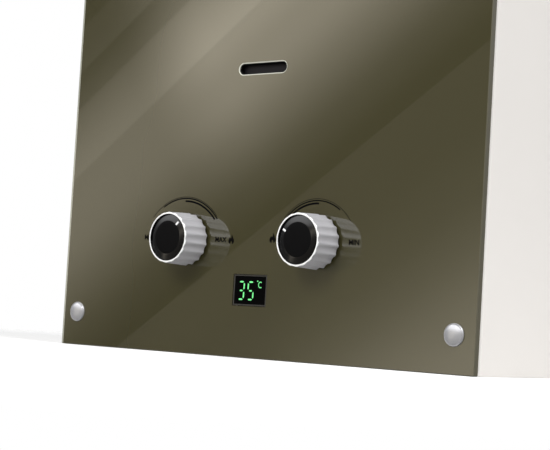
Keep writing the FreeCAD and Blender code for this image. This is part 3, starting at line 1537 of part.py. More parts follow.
pieces = build()
doc.recompute()
for item in doc.Objects:
    if {"Invalid", "Error"} & set(item.State):
        raise RuntimeError(f"{item.Label} did not rebuild")
for piece in pieces:
    if piece.Shape.isNull() or not piece.Shape.isValid() or not piece.Shape.Solids:
        raise RuntimeError(f"{piece.Label} has no sound solid")
os.makedirs("parts", exist_ok=True)
for piece in pieces:
    piece.Shape.exportStep(f"parts/{piece.Label}.step")
print(f"{len(pieces)} sub-parts")
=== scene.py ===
import math

import bmesh
import bpy
from bpy.props import FloatProperty, FloatVectorProperty, IntProperty, PointerProperty
from bpy.types import Operator, Panel, PropertyGroup
from mathutils import Matrix, Vector


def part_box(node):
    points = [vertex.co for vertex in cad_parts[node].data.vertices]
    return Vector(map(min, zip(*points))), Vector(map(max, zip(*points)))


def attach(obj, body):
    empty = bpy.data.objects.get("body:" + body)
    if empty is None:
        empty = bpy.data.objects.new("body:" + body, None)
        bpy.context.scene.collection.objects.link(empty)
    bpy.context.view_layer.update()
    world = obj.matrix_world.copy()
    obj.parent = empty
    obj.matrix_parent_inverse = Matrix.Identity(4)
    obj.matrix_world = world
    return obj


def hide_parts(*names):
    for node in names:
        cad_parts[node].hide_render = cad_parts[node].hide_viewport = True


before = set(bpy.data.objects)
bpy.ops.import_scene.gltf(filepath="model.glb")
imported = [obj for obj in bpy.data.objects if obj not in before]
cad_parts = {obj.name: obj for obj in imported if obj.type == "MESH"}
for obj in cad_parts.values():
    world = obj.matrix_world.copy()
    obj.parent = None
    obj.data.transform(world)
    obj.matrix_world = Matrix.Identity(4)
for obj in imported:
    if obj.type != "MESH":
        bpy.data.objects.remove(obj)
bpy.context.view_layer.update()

bl_info = {
    "name": "Glass-fronted Water Heater",
    "version": (1, 0, 0),
    "blender": (4, 5, 0),
    "location": "View3D > Sidebar > Heater",
    "description": "Dresses the packed water heater with its knobs, dials, display, fittings and finishes",
    "category": "Object",
}

MM = 0.001
WELD = 0.000001


def middle_of(box):
    """The middle of a box, from its two corners, as x, y and z."""
    return [(low + high) / 2 for low, high in zip(*box)]


GLASS_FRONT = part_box("glass_panel")[0].y
KNOB_LEVEL = middle_of(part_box("gas_knob"))[2]
GAS_X = middle_of(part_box("gas_spindle"))[0]
WATER_X = middle_of(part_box("water_spindle"))[0]


class HeaterSizes(PropertyGroup):
    """Lengths of the dressed pieces, in metres unless the name says otherwise."""

    ring_radius: FloatProperty(name="Knob radius", description="Outer radius of the fluted ring",
                               default=17.6 * MM, unit="LENGTH")
    ring_reach: FloatProperty(name="Knob reach", description="From the glass to the rim of the ring",
                              default=22.3 * MM, unit="LENGTH")
    ring_gap: FloatProperty(name="Knob gap", description="Air between the glass and the knob",
                            default=2.1 * MM, unit="LENGTH")
    ring_taper: FloatProperty(name="Knob taper", description="Slope of the ring's flank",
                              default=math.radians(2.1), subtype="ANGLE")
    flute_count: IntProperty(name="Flutes", description="Grooves round the ring", default=18, min=6)
    flute_radius: FloatProperty(name="Flute radius", description="Radius of one groove",
                                default=4.9 * MM, unit="LENGTH")
    flute_depth: FloatProperty(name="Flute depth", description="Depth of one groove",
                               default=0.98 * MM, unit="LENGTH")
    face_radius: FloatProperty(name="Face radius", description="Radius of the black face",
                               default=15.55 * MM, unit="LENGTH")
    disc_radius: FloatProperty(name="Disc radius", description="Radius of the raised middle of the face",
                               default=11.0 * MM, unit="LENGTH")
    mark_length: FloatProperty(name="Pointer length", description="Length of the white pointer",
                               default=2.8 * MM, unit="LENGTH")
    mark_width: FloatProperty(name="Pointer width", description="Width of the white pointer",
                              default=1.35 * MM, unit="LENGTH")
    mark_reach: FloatProperty(name="Pointer reach", description="Middle of the pointer from the axis",
                              default=12.3 * MM, unit="LENGTH")
    gas_turn: FloatProperty(name="Gas pointer", description="Angle of the left pointer",
                            default=math.radians(49), subtype="ANGLE")
    water_turn: FloatProperty(name="Water pointer", description="Angle of the right pointer",
                              default=math.radians(152), subtype="ANGLE")
    print_height: FloatProperty(name="Print thickness", description="Thickness of the printed marks",
                                default=0.05 * MM, unit="LENGTH")
    word_size: FloatProperty(name="Word size", description="Size of the words by the dials",
                             default=4.6 * MM, unit="LENGTH")
    cap_radius: FloatProperty(name="Cap radius", description="Radius of a screw cap",
                              default=6.85 * MM, unit="LENGTH")
    cap_height: FloatProperty(name="Cap height", description="Height of a screw cap",
                              default=2.5 * MM, unit="LENGTH")
    digit_height: FloatProperty(name="Digit height", description="Height of the display's digits",
                                default=11.4 * MM, unit="LENGTH")
    thread_pitch: FloatProperty(name="Thread pitch", description="Pitch of the pipe stubs' threads",
                                default=1.814 * MM, unit="LENGTH")
    grip_ribs: IntProperty(name="Grip ribs", description="Rings round the handle's grip",
                           default=19, min=3)


class HeaterColours(PropertyGroup):
    """Colours of the finishes, as linear values."""

    paint: FloatVectorProperty(name="Casing paint", description="Powder coat of the casing",
                               default=(0.81, 0.78, 0.747), size=3, subtype="COLOR", min=0, max=1)
    glass: FloatVectorProperty(name="Back coat", description="Bronze coat behind the glass",
                               default=(0.0455, 0.041, 0.017), size=3, subtype="COLOR", min=0, max=1)
    silver: FloatVectorProperty(name="Silver", description="Satin metal of the knobs",
                                default=(0.56, 0.555, 0.585), size=3, subtype="COLOR", min=0, max=1)
    cap: FloatVectorProperty(name="Cap metal", description="Brushed metal of the screw caps",
                             default=(0.47, 0.47, 0.49), size=3, subtype="COLOR", min=0, max=1)
    black: FloatVectorProperty(name="Black", description="Faces of the knobs",
                               default=(0.003, 0.003, 0.0034), size=3, subtype="COLOR", min=0, max=1)
    ink: FloatVectorProperty(name="Ink", description="Print round the dials",
                             default=(0.0012, 0.0010, 0.0008), size=3, subtype="COLOR", min=0, max=1)
    digits: FloatVectorProperty(name="Digits", description="Light of the display",
                                default=(0.20, 0.95, 0.30), size=3, subtype="COLOR", min=0, max=1)
    rubber: FloatVectorProperty(name="Rubber", description="Grip of the handle",
                                default=(0.020, 0.020, 0.021), size=3, subtype="COLOR", min=0, max=1)
    brass: FloatVectorProperty(name="Brass", description="Pipe stubs and valves",
                               default=(0.60, 0.40, 0.17), size=3, subtype="COLOR", min=0, max=1)
    copper: FloatVectorProperty(name="Copper", description="Exchanger and pipes",
                                default=(0.62, 0.27, 0.16), size=3, subtype="COLOR", min=0, max=1)


# ---- shader nodes --------------------------------------------------------------

def feed(tree, node, inputs):
    """Wire a node's inputs to sockets, or set them to values."""
    for label, value in inputs.items():
        if isinstance(value, bpy.types.NodeSocket):
            tree.links.new(value, node.inputs[label])
        else:
            node.inputs[label].default_value = value


def add_node(tree, kind, inputs=None, **settings):
    """A new shader node with its settings and its inputs."""
    node = tree.nodes.new(f"ShaderNode{kind}")
    for label, value in settings.items():
        setattr(node, label, value)
    feed(tree, node, inputs or {})
    return node


def math_node(tree, operation, *values):
    """The result of a Math node on sockets or numbers."""
    return add_node(tree, "Math", dict(enumerate(values)), operation=operation).outputs[0]


def smooth_step(tree, value, low, high, start=0.0, end=1.0):
    """From start to end, eased, while the value goes from low to high."""
    step = add_node(tree, "MapRange", {"Value": value, "From Min": low, "From Max": high,
                                       "To Min": start, "To Max": end},
                    interpolation_type="SMOOTHSTEP")
    return step.outputs["Result"]


def mix_colours(tree, share, first, second):
    """From the first colour to the second by a share."""
    mixed = add_node(tree, "Mix", {"Factor": share, "A": first, "B": second}, data_type="RGBA")
    return mixed.outputs["Result"]


def scale_colour(tree, colour, factor):
    """A colour times a factor."""
    return add_node(tree, "VectorMath", {0: colour, "Scale": factor}, operation="SCALE").outputs[0]


def mix_shaders(tree, share, first, second):
    """From the first shader to the second by a share."""
    return add_node(tree, "MixShader", {0: share, 1: first, 2: second}).outputs[0]


# ---- shared shader groups ------------------------------------------------------

def shader_group(name, inputs, outputs):
    """A new group with its sockets, its input node and its output node."""
    group = bpy.data.node_groups.new(name, "ShaderNodeTree")
    for label, kind, value in inputs:
        item = group.interface.new_socket(name=label, in_out="INPUT", socket_type=f"NodeSocket{kind}")
        if value is not None:
            item.default_value = value
    for label, kind in outputs:
        group.interface.new_socket(name=label, in_out="OUTPUT", socket_type=f"NodeSocket{kind}")
    return group, group.nodes.new("NodeGroupInput").outputs, group.nodes.new("NodeGroupOutput").inputs


def variation_group():
    """Slow change of tone over a surface, and the roughness that goes with it."""
    if "surface_variation" in bpy.data.node_groups:
        return bpy.data.node_groups["surface_variation"]
    group, given, result = shader_group("surface_variation", [
        ("Vector", "Vector", None), ("Colour", "Color", (0.8, 0.8, 0.8, 1)),
        ("Amount", "Float", 0.1), ("Scale", "Float", 30.0), ("Roughness", "Float", 0.5),
    ], [("Colour", "Color"), ("Roughness", "Float")])
    noise = add_node(group, "TexNoise", {"Detail": 4, "Vector": given["Vector"], "Scale": given["Scale"]})
    centred = math_node(group, "SUBTRACT", noise.outputs["Fac"], 0.5)
    swing = math_node(group, "MULTIPLY", centred, given["Amount"])
    factor = math_node(group, "MULTIPLY_ADD", swing, 2.0, 1.0)
    group.links.new(scale_colour(group, given["Colour"], factor), result["Colour"])
    rough = math_node(group, "MULTIPLY_ADD", swing, 0.9, given["Roughness"])
    group.links.new(rough, result["Roughness"])
    return group


def grain_group():
    """Fine height for cast, painted and moulded skins, stretched along an axis at will."""
    if "fine_grain" in bpy.data.node_groups:
        return bpy.data.node_groups["fine_grain"]
    group, given, result = shader_group("fine_grain", [
        ("Vector", "Vector", None), ("Scale", "Float", 900.0), ("Stretch", "Vector", (1, 1, 1)),
    ], [("Height", "Float")])
    stretched = add_node(group, "VectorMath", {0: given["Vector"], 1: given["Stretch"]},
                         operation="MULTIPLY")
    fine = add_node(group, "TexNoise", {"Detail": 2, "Vector": stretched.outputs[0],
                                        "Scale": given["Scale"]})
    group.links.new(fine.outputs["Fac"], result["Height"])
    return group


def dust_group():
    """Thin dust that settles on faces turned up."""
    if "settled_dust" in bpy.data.node_groups:
        return bpy.data.node_groups["settled_dust"]
    group, given, result = shader_group("settled_dust", [
        ("Vector", "Vector", None), ("Colour", "Color", (0.8, 0.8, 0.8, 1)), ("Amount", "Float", 0.2),
    ], [("Colour", "Color")])
    facing = add_node(group, "NewGeometry").outputs["Normal"]
    parts = add_node(group, "SeparateXYZ", {0: facing})
    cloud = add_node(group, "TexNoise", {"Scale": 60, "Vector": given["Vector"]})
    up = math_node(group, "MAXIMUM", parts.outputs["Z"], 0.0)
    patch = math_node(group, "MULTIPLY", up, cloud.outputs["Fac"])
    share = math_node(group, "MULTIPLY", patch, given["Amount"])
    dust = (0.42, 0.40, 0.37, 1)
    group.links.new(mix_colours(group, share, given["Colour"], dust), result["Colour"])
    return group


# ---- materials -----------------------------------------------------------------

def blank_material(name):
    """A new material, its tree and its surface shader, and the place on the object to map by."""
    material = bpy.data.materials.new(name)
    material.use_nodes = True
    tree = material.node_tree
    place = add_node(tree, "TexCoord")
    return material, tree, tree.nodes["Principled BSDF"], place.outputs["Object"]


def add_group(tree, group, **inputs):
    """A shared group set in a tree, with its inputs."""
    return add_node(tree, "Group", inputs, node_tree=group)


def finish(name, colour, roughness=0.5, metallic=0.0, amount=0.06, patch=30, grain=900,
           stretch=(1, 1, 1), bump=0.06, relief=0.00004, coat=0.0, dust=0.0, specular=0.5):
    """A worked surface: slow change of tone, fine grain, dust and an optional clear coat."""
    if name in bpy.data.materials:
        return bpy.data.materials[name]
    material, tree, shader, vector = blank_material(name)
    tone = add_group(tree, variation_group(), Vector=vector, Colour=(*colour, 1), Amount=amount,
                     Scale=patch, Roughness=roughness)
    skin = tone.outputs["Colour"]
    if dust:
        veil = add_group(tree, dust_group(), Vector=vector, Colour=skin, Amount=dust)
        skin = veil.outputs["Colour"]
    fine = add_group(tree, grain_group(), Vector=vector, Scale=grain, Stretch=stretch)
    raised = add_node(tree, "Bump", {"Strength": bump, "Distance": relief,
                                     "Height": fine.outputs["Height"]})
    feed(tree, shader, {"Base Color": skin, "Roughness": tone.outputs["Roughness"],
                        "Normal": raised.outputs["Normal"], "Metallic": metallic,
                        "Specular IOR Level": specular, "Coat Weight": coat,
                        "Coat Roughness": 0.05})
    return material


def dress(name, material, *more):
    """Give CAD nodes a material."""
    for node in (name, *more):
        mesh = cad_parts[node].data
        if mesh.materials:
            mesh.materials[0] = material
        else:
            mesh.materials.append(material)


# ---- meshes --------------------------------------------------------------------

def lathe(points, steps=64, closed=False):
    """A shape turned once round Z from (radius, height) points."""
    bm = bmesh.new()
    verts = [bm.verts.new((x, 0, z)) for x, z in points]
    for pair in zip(verts, verts[1:]):
        bm.edges.new(pair)
    if closed:
        bm.edges.new((verts[-1], verts[0]))
    bmesh.ops.spin(bm, geom=bm.verts[:] + bm.edges[:], cent=(0, 0, 0), axis=(0, 0, 1),
                   angle=math.tau, steps=steps, use_merge=True)
    bmesh.ops.remove_doubles(bm, verts=bm.verts, dist=WELD)
    bmesh.ops.recalc_face_normals(bm, faces=bm.faces)
    return bm


def arc_bar(inner, outer, thickness, start, sweep, steps):
    """A flat bar curved round Z between two radii, from a start through a sweep in degrees."""
    bm = bmesh.new()
    corners = [(inner, 0), (outer, 0), (outer, thickness), (inner, thickness)]
    face = bm.faces.new([bm.verts.new((x, 0, z)) for x, z in corners])
    bmesh.ops.rotate(bm, cent=(0, 0, 0), matrix=Matrix.Rotation(math.radians(start), 3, "Z"),
                     verts=bm.verts)
    bmesh.ops.spin(bm, geom=[face], cent=(0, 0, 0), axis=(0, 0, 1), angle=math.radians(sweep),
                   steps=steps, use_merge=False)
    bmesh.ops.recalc_face_normals(bm, faces=bm.faces)
    return bm


def slab(outline, thickness):
    """A flat shape in XY, raised along Z."""
    bm = bmesh.new()
    face = bm.faces.new([bm.verts.new((x, y, 0)) for x, y in outline])
    grown = bmesh.ops.extrude_face_region(bm, geom=[face])
    moved = [item for item in grown["geom"] if isinstance(item, bmesh.types.BMVert)]
    bmesh.ops.translate(bm, vec=(0, 0, thickness), verts=moved)
    bmesh.ops.recalc_face_normals(bm, faces=bm.faces)
    return bm


def bar(x, y, z, bevel=0.0, segments=2):
    """A block between two places along each axis, with eased edges."""
    bm = bmesh.new()
    bmesh.ops.create_cube(bm, size=1)
    size = Vector((x[1] - x[0], y[1] - y[0], z[1] - z[0]))
    middle = Vector((x[0] + x[1], y[0] + y[1], z[0] + z[1])) / 2
    bmesh.ops.scale(bm, vec=size, verts=bm.verts)
    bmesh.ops.translate(bm, vec=middle, verts=bm.verts)
    if bevel:
        ease(bm, bm.edges[:], bevel, segments)
    return bm


def ease(bm, edges, width, segments=2):
    """Round edges off to a width."""
    bmesh.ops.bevel(bm, geom=edges, offset=width, offset_type="OFFSET", affect="EDGES",
                    segments=segments, profile=0.5, material=-1, clamp_overlap=True)


def merge(target, source, matrix=None, index=None):
    """Move one bmesh into another, placed, and with a material index where one is given."""
    if matrix:
        bmesh.ops.transform(source, matrix=matrix, verts=source.verts)
    if index is not None:
        for face in source.faces:
            face.material_index = index
    held = bpy.data.meshes.new("held")
    source.to_mesh(held)
    source.free()
    target.from_mesh(held)
    bpy.data.meshes.remove(held)
    return target


def on_glass(x, z, turn=0.0, out=0.0):
    """Local X to the right, Y up and Z out of the glass, turned about the way out."""
    cosine, sine = math.cos(turn), math.sin(turn)
    return Matrix((
        (cosine, -sine, 0, x),
        (0, 0, -1, GLASS_FRONT - out),
        (sine, cosine, 0, z),
        (0, 0, 0, 1),
    ))


def soften(bm, limit=32):
    """Smooth shading, broken where faces meet at more than the limit, in degrees."""
    for face in bm.faces:
        face.smooth = True
    for edge in bm.edges:
        edge.smooth = len(edge.link_faces) == 2 and edge.calc_face_angle(0) < math.radians(limit)


def add_object(name, data):
    """A new object in the scene."""
    item = bpy.data.objects.new(name, data)
    bpy.context.scene.collection.objects.link(item)
    return item


def piece(name, bm, materials, body="casing", stands_for=(), matrix=None, limit=32):
    """Turn a bmesh into a finished object in place, riding on a body."""
    if matrix:
        bmesh.ops.transform(bm, matrix=matrix, verts=bm.verts)
        if matrix.determinant() < 0:
            bmesh.ops.reverse_faces(bm, faces=bm.faces)
    soften(bm, limit)
    mesh = bpy.data.meshes.new(name)
    bm.to_mesh(mesh)
    bm.free()
    for material in materials:
        mesh.materials.append(material)
    item = add_object(name, mesh)
    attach(item, body)
    if stands_for:
        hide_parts(*stands_for)
    return item


def cross_screw(radius, height):
    """Round screw head with a cross recess, its seat at z = 0; the recess on index 1 is coloured near
    black as painted shade.
    """
    bm = lathe([(0, height), (radius * 0.45, height * 0.97), (radius * 0.8, height * 0.72),
                (radius, height * 0.28), (radius, 0), (0, 0)], steps=24)
    for turn in (0, math.pi / 2):
        arm = bar((-radius * 0.52, radius * 0.52), (-radius * 0.11, radius * 0.11),
                  (height * 0.6, height * 1.01), radius * 0.04, 1)
        merge(bm, arm, Matrix.Rotation(turn + 0.4, 4, "Z"), 1)
    return bm


# ---- operators -----------------------------------------------------------------

class HEATER_OT_glass(Operator):
    """Finish the glass front, its ground slot with painted shade on the slot's walls, a painted highlight
    along the left edge, the seal and the pane behind the slot
    """

    bl_idname = "heater.glass"
    bl_label = "Glass front"

    ground_half_run = 16.55 * MM
    ground_radius = 4.25 * MM
    ground_depth = 0.45 * MM
    side_edge = 174.45 * MM
    low_edge = 0.55 * MM
    high_edge = 549.45 * MM
    # The left strip of the glass is coloured pale: a painted highlight on the left edge.
    left_edge_highlight = -173.0 * MM

    def execute(self, context):
        colours = context.scene.heater_colours
        material, tree, shader, vector = blank_material("bronze_coated_glass")

        def maths(operation, *values):
            return math_node(tree, operation, *values)

        x, y, z = add_node(tree, "SeparateXYZ", {0: vector}).outputs
        beside = maths("MAXIMUM", maths("SUBTRACT", maths("ABSOLUTE", x), self.ground_half_run), 0.0)
        above = maths("SUBTRACT", z, middle_of(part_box("sight_pane"))[2])
        reach = maths("SQRT", maths("ADD", maths("MULTIPLY", beside, beside),
                                    maths("MULTIPLY", above, above)))
        near_slot = maths("LESS_THAN", reach, self.ground_radius)
        skin_deep = maths("LESS_THAN", y, GLASS_FRONT + self.ground_depth)
        ground = maths("MULTIPLY", near_slot, skin_deep)
        # Inside the slot, deeper than the ground skin, the walls are coloured near black: painted shade.
        inner = maths("SUBTRACT", near_slot, ground)
        side = maths("GREATER_THAN", maths("ABSOLUTE", x), self.side_edge)
        ends = maths("MAXIMUM", maths("LESS_THAN", z, self.low_edge),
                     maths("GREATER_THAN", z, self.high_edge))
        edge = maths("MAXIMUM", side, ends)
        # Painted highlight: a pale strip along the left edge only.
        bevel = maths("LESS_THAN", x, self.left_edge_highlight)
        tone = add_group(tree, variation_group(), Vector=vector, Colour=(*colours.glass, 1),
                         Amount=0.015, Scale=9, Roughness=0.2)
        colour = tone.outputs["Colour"]
        # Colours by mask: the glass's edges, the painted highlight on the left, the ground slot rim and
        # the painted shade inside the slot.
        for mask, shade in ((edge, (0.095, 0.088, 0.060, 1)), (bevel, (0.35, 0.35, 0.30, 1)),
                            (ground, (0.60, 0.60, 0.52, 1)), (inner, (0.003, 0.003, 0.003, 1))):
            colour = mix_colours(tree, mask, colour, shade)
        frosted = maths("MAXIMUM", ground, inner)
        feed(tree, shader, {"Base Color": colour, "Roughness": maths("MULTIPLY_ADD", frosted, 0.4, 0.22),
                            "Coat Weight": maths("SUBTRACT", 1.0, frosted), "Coat IOR": 1.72,
                            "Coat Roughness": 0.015, "Specular IOR Level": 0.1})
        dress("glass_panel", material)
        dress("glass_foam_tape", finish("foam_seal", (0.012, 0.012, 0.012), 0.9, grain=2600,
                                        bump=0.5, relief=0.0002))
        dress("sight_pane", finish("smoked_pane", (0.011, 0.010, 0.012), 0.4, amount=0.3,
                                   patch=160, specular=0.15))
        return {"FINISHED"}


class HEATER_OT_casing(Operator):
    """Finish the sheet casing and set its screws"""

    bl_idname = "heater.casing"
    bl_label = "Casing"

    def execute(self, context):
        colours = context.scene.heater_colours
        paint = finish("powder_coat", tuple(colours.paint), 0.36, amount=0.012, patch=7, grain=1500,
                       bump=0.10, relief=0.00006, dust=0.10)
        dress("front_cover", paint, "bottom_plate")
        sheet = finish("galvanised_sheet", (0.52, 0.53, 0.54), 0.38, 0.85, amount=0.16, patch=55,
                       grain=700, stretch=(1, 1, 0.08), bump=0.12, relief=0.00003, dust=0.08)
        dress("back_plate", sheet, "chamber_bracket_low", "chamber_bracket_high",
              "electrode_bracket", "draft_hood")
        steel = finish("zinc_steel", (0.50, 0.51, 0.52), 0.3, 0.95, amount=0.08, patch=120)
        # Near black for the screws' cross recesses: painted shade.
        recess_shade = finish("recess_painted_shade", (0.01, 0.01, 0.01), 0.6)
        low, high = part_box("bottom_plate")
        front, back = low.y + 6.5 * MM, high.y - 6 * MM
        screws = bmesh.new()
        under = Matrix.Rotation(math.pi, 4, "X")
        for x, rows in ((-158, (front, back)), (-90, (front, back)), (0, (front, back)), (86, (back,))):
            for y in rows:
                merge(screws, cross_screw(2.9 * MM, 1.7 * MM),
                      Matrix.Translation((x * MM, y, low.z)) @ under)
        piece("floor_screws", screws, [steel, recess_shade])
        dress("glass_screws", steel)
        return {"FINISHED"}


class HEATER_OT_knobs(Operator):
    """Build the two fluted knobs with their black faces and white pointers"""

    bl_idname = "heater.knobs"
    bl_label = "Knobs"

    def ring(self, sizes):
        """The tapered ring, its flutes cut by a round rim: the rim's bead on index 1 is near white as a
        painted highlight, wall on 2.
        """
        count = sizes.flute_count
        steps_per_flute = 12
        bead_steps = 8
        inner = sizes.face_radius + 0.04 * MM
        foot_level = sizes.ring_gap
        top = sizes.ring_reach
        bead = 0.75 * MM

        def outer(height):
            return sizes.ring_radius - (height - foot_level) * math.tan(sizes.ring_taper)

        def flank(height, share):
            edge = outer(height)
            depth = sizes.flute_depth * share
            away = edge + sizes.flute_radius - depth

            def radius(angle):
                off = angle % (math.tau / count) - math.pi / count
                inside = sizes.flute_radius ** 2 - (away * math.sin(off)) ** 2
                if inside <= 0 or depth <= 0:
                    return edge
                return min(edge, away * math.cos(off) - math.sqrt(inside))

            return radius

        def cut(height, share, limit):
            side = flank(height, share)
            return lambda angle: min(side(angle), limit)

        foot = flank(foot_level, 1.0)
        stations = [(lambda angle: foot(angle) - 2.2 * MM, foot_level),
                    (lambda angle: foot(angle) - 0.2 * MM, foot_level)]
        for share, cut_share in ((0.015, 1.0), (0.25, 0.96), (0.5, 0.88), (0.75, 0.76), (0.86, 0.69)):
            height = foot_level + (top - foot_level) * share
            stations.append((flank(height, cut_share), height))
        for below, cut_share in ((2.0 * MM, 0.64), (1.3 * MM, 0.6)):
            stations.append((flank(top - below, cut_share), top - below))
        rim_from = len(stations)
        rim = outer(top) + 0.02 * MM
        for step in range(bead_steps + 1):
            turn = math.pi / 2 * step / bead_steps
            limit = rim - bead * (1 - math.cos(turn)) * 0.8
            height = top - bead * (1 - math.sin(turn))
            stations.append((cut(height, 0.58 - 0.26 * step / bead_steps, limit), height))
        wall_from = len(stations) + 2
        stations += [(lambda angle: inner + 0.12 * MM, top), (lambda angle: inner, top - 0.14 * MM),
                     (lambda angle: inner, top - 2.4 * MM), (lambda angle: inner, top - 4 * MM)]
        bm = bmesh.new()
        bmesh.ops.create_circle(bm, cap_ends=False, segments=count * steps_per_flute, radius=1)
        loop, edges, first = bm.verts[:], bm.edges[:], None
        for place, (radius_at, height) in enumerate(stations):
            known = set()
            if first is not None:
                known = set(bm.faces)
                grown = bmesh.ops.extrude_edge_only(bm, edges=edges)["geom"]
                edges = [item for item in grown if isinstance(item, bmesh.types.BMEdge)]
                loop = [item for item in grown if isinstance(item, bmesh.types.BMVert)]
            for vert in loop:
                angle = math.atan2(vert.co.y, vert.co.x)
                radius = radius_at(angle)
                vert.co = Vector((radius * math.cos(angle), radius * math.sin(angle), height))
            if first is None:
                first = edges
                continue
            for face in bm.faces:
                if face in known:
                    continue
                middle = face.calc_center_median()
                reach = math.hypot(middle.x, middle.y)
                # Bead faces take the near-white rim material, a painted highlight.
                painted_highlight_face = place > rim_from and reach > (rim - 0.8 * bead) * 0.5 and (
                    reach < flank(middle.z, 0.5)(math.atan2(middle.y, middle.x)) - 0.03 * MM
                    or middle.z > top - 0.3 * bead)
                face.material_index = 2 if place >= wall_from else 1 if painted_highlight_face else 0
        bmesh.ops.bridge_loops(bm, edges=first + edges)
        bmesh.ops.recalc_face_normals(bm, faces=bm.faces)
        return bm

    def face(self, sizes):
        """Black face: a raised middle, and on index 1 a glossy band that falls to the rim."""
        radius = sizes.face_radius
        disc = sizes.disc_radius
        top = sizes.ring_reach + 0.1 * MM
        drop = 0.28 * MM
        back = 3 * MM
        turns = 96
        flat = lathe([(0, top), (disc * 0.3, top - 0.02 * MM), (disc * 0.6, top - 0.08 * MM),
                      (disc * 0.8, top - 0.15 * MM), (disc * 0.96, top - 0.23 * MM),
                      (disc, top - drop)], steps=turns)
        band = []
        for share in (0.0, 0.2, 0.4, 0.6, 0.8, 1.0):
            run = (radius - disc) * share
            band.append((disc + run, top - drop - run * math.tan(math.radians(12.5 + share))))
        band += [(radius, top - 2.2 * MM), (radius - 0.4 * MM, top - back), (0, top - back)]
        merge(flat, lathe(band, steps=turns), None, 1)
        bmesh.ops.remove_doubles(flat, verts=flat.verts, dist=WELD)
        bmesh.ops.recalc_face_normals(flat, faces=flat.faces)
        return flat

    def pointer(self, sizes):
        """White pointer laid in the face, sloping with the band under it."""
        half = sizes.mark_length / 2
        wide = sizes.mark_width / 2
        top = sizes.ring_reach - 0.2 * MM
        bm = bar((-half, half), (-wide, wide), (-0.8 * MM, 0.12 * MM), 0.24 * MM, 3)
        tilt = Matrix.Rotation(math.radians(10), 4, "Y")
        bmesh.ops.transform(bm, matrix=Matrix.Translation((sizes.mark_reach, 0, top)) @ tilt,
                            verts=bm.verts)
        return bm

    def execute(self, context):
        sizes = context.scene.heater_sizes
        colours = context.scene.heater_colours
        silver = finish("satin_silver", tuple(colours.silver), 0.40, 0.30, amount=0.03, patch=90,
                        grain=2400, stretch=(1, 0.06, 1), bump=0.05, relief=0.00002,
                        specular=0.4)
        # Near-white rim material: a painted highlight on the knob's rim.
        rim = finish("rim_painted_highlight", (0.97, 0.97, 0.97), 0.28, 0.2, amount=0.01, bump=0.01)
        black = finish("matt_black_disc", tuple(colours.black), 0.38, amount=0.2, patch=260, grain=3000,
                       bump=0.03, relief=0.00001, specular=0.05)
        gloss = finish("gloss_black_band", tuple(colours.black), 0.16, amount=0.15, patch=200,
                       bump=0.01, relief=0.00001, specular=0.5)
        white = finish("pointer_white", (0.90, 0.90, 0.90), 0.4, amount=0.01)
        for control, x, turn in (("gas", GAS_X, sizes.gas_turn), ("water", WATER_X, sizes.water_turn)):
            place = on_glass(x, KNOB_LEVEL, turn)
            body = f"{control}_control"
            piece(f"{control}_knob_ring", self.ring(sizes), [silver, rim, gloss], body,
                  [f"{control}_knob"], place, 40)
            piece(f"{control}_knob_disc", self.face(sizes), [black, gloss], body,
                  [f"{control}_knob_face"], place, 20)
            piece(f"{control}_knob_pointer", self.pointer(sizes), [white], body,
                  [f"{control}_knob_mark"], place)
        return {"FINISHED"}


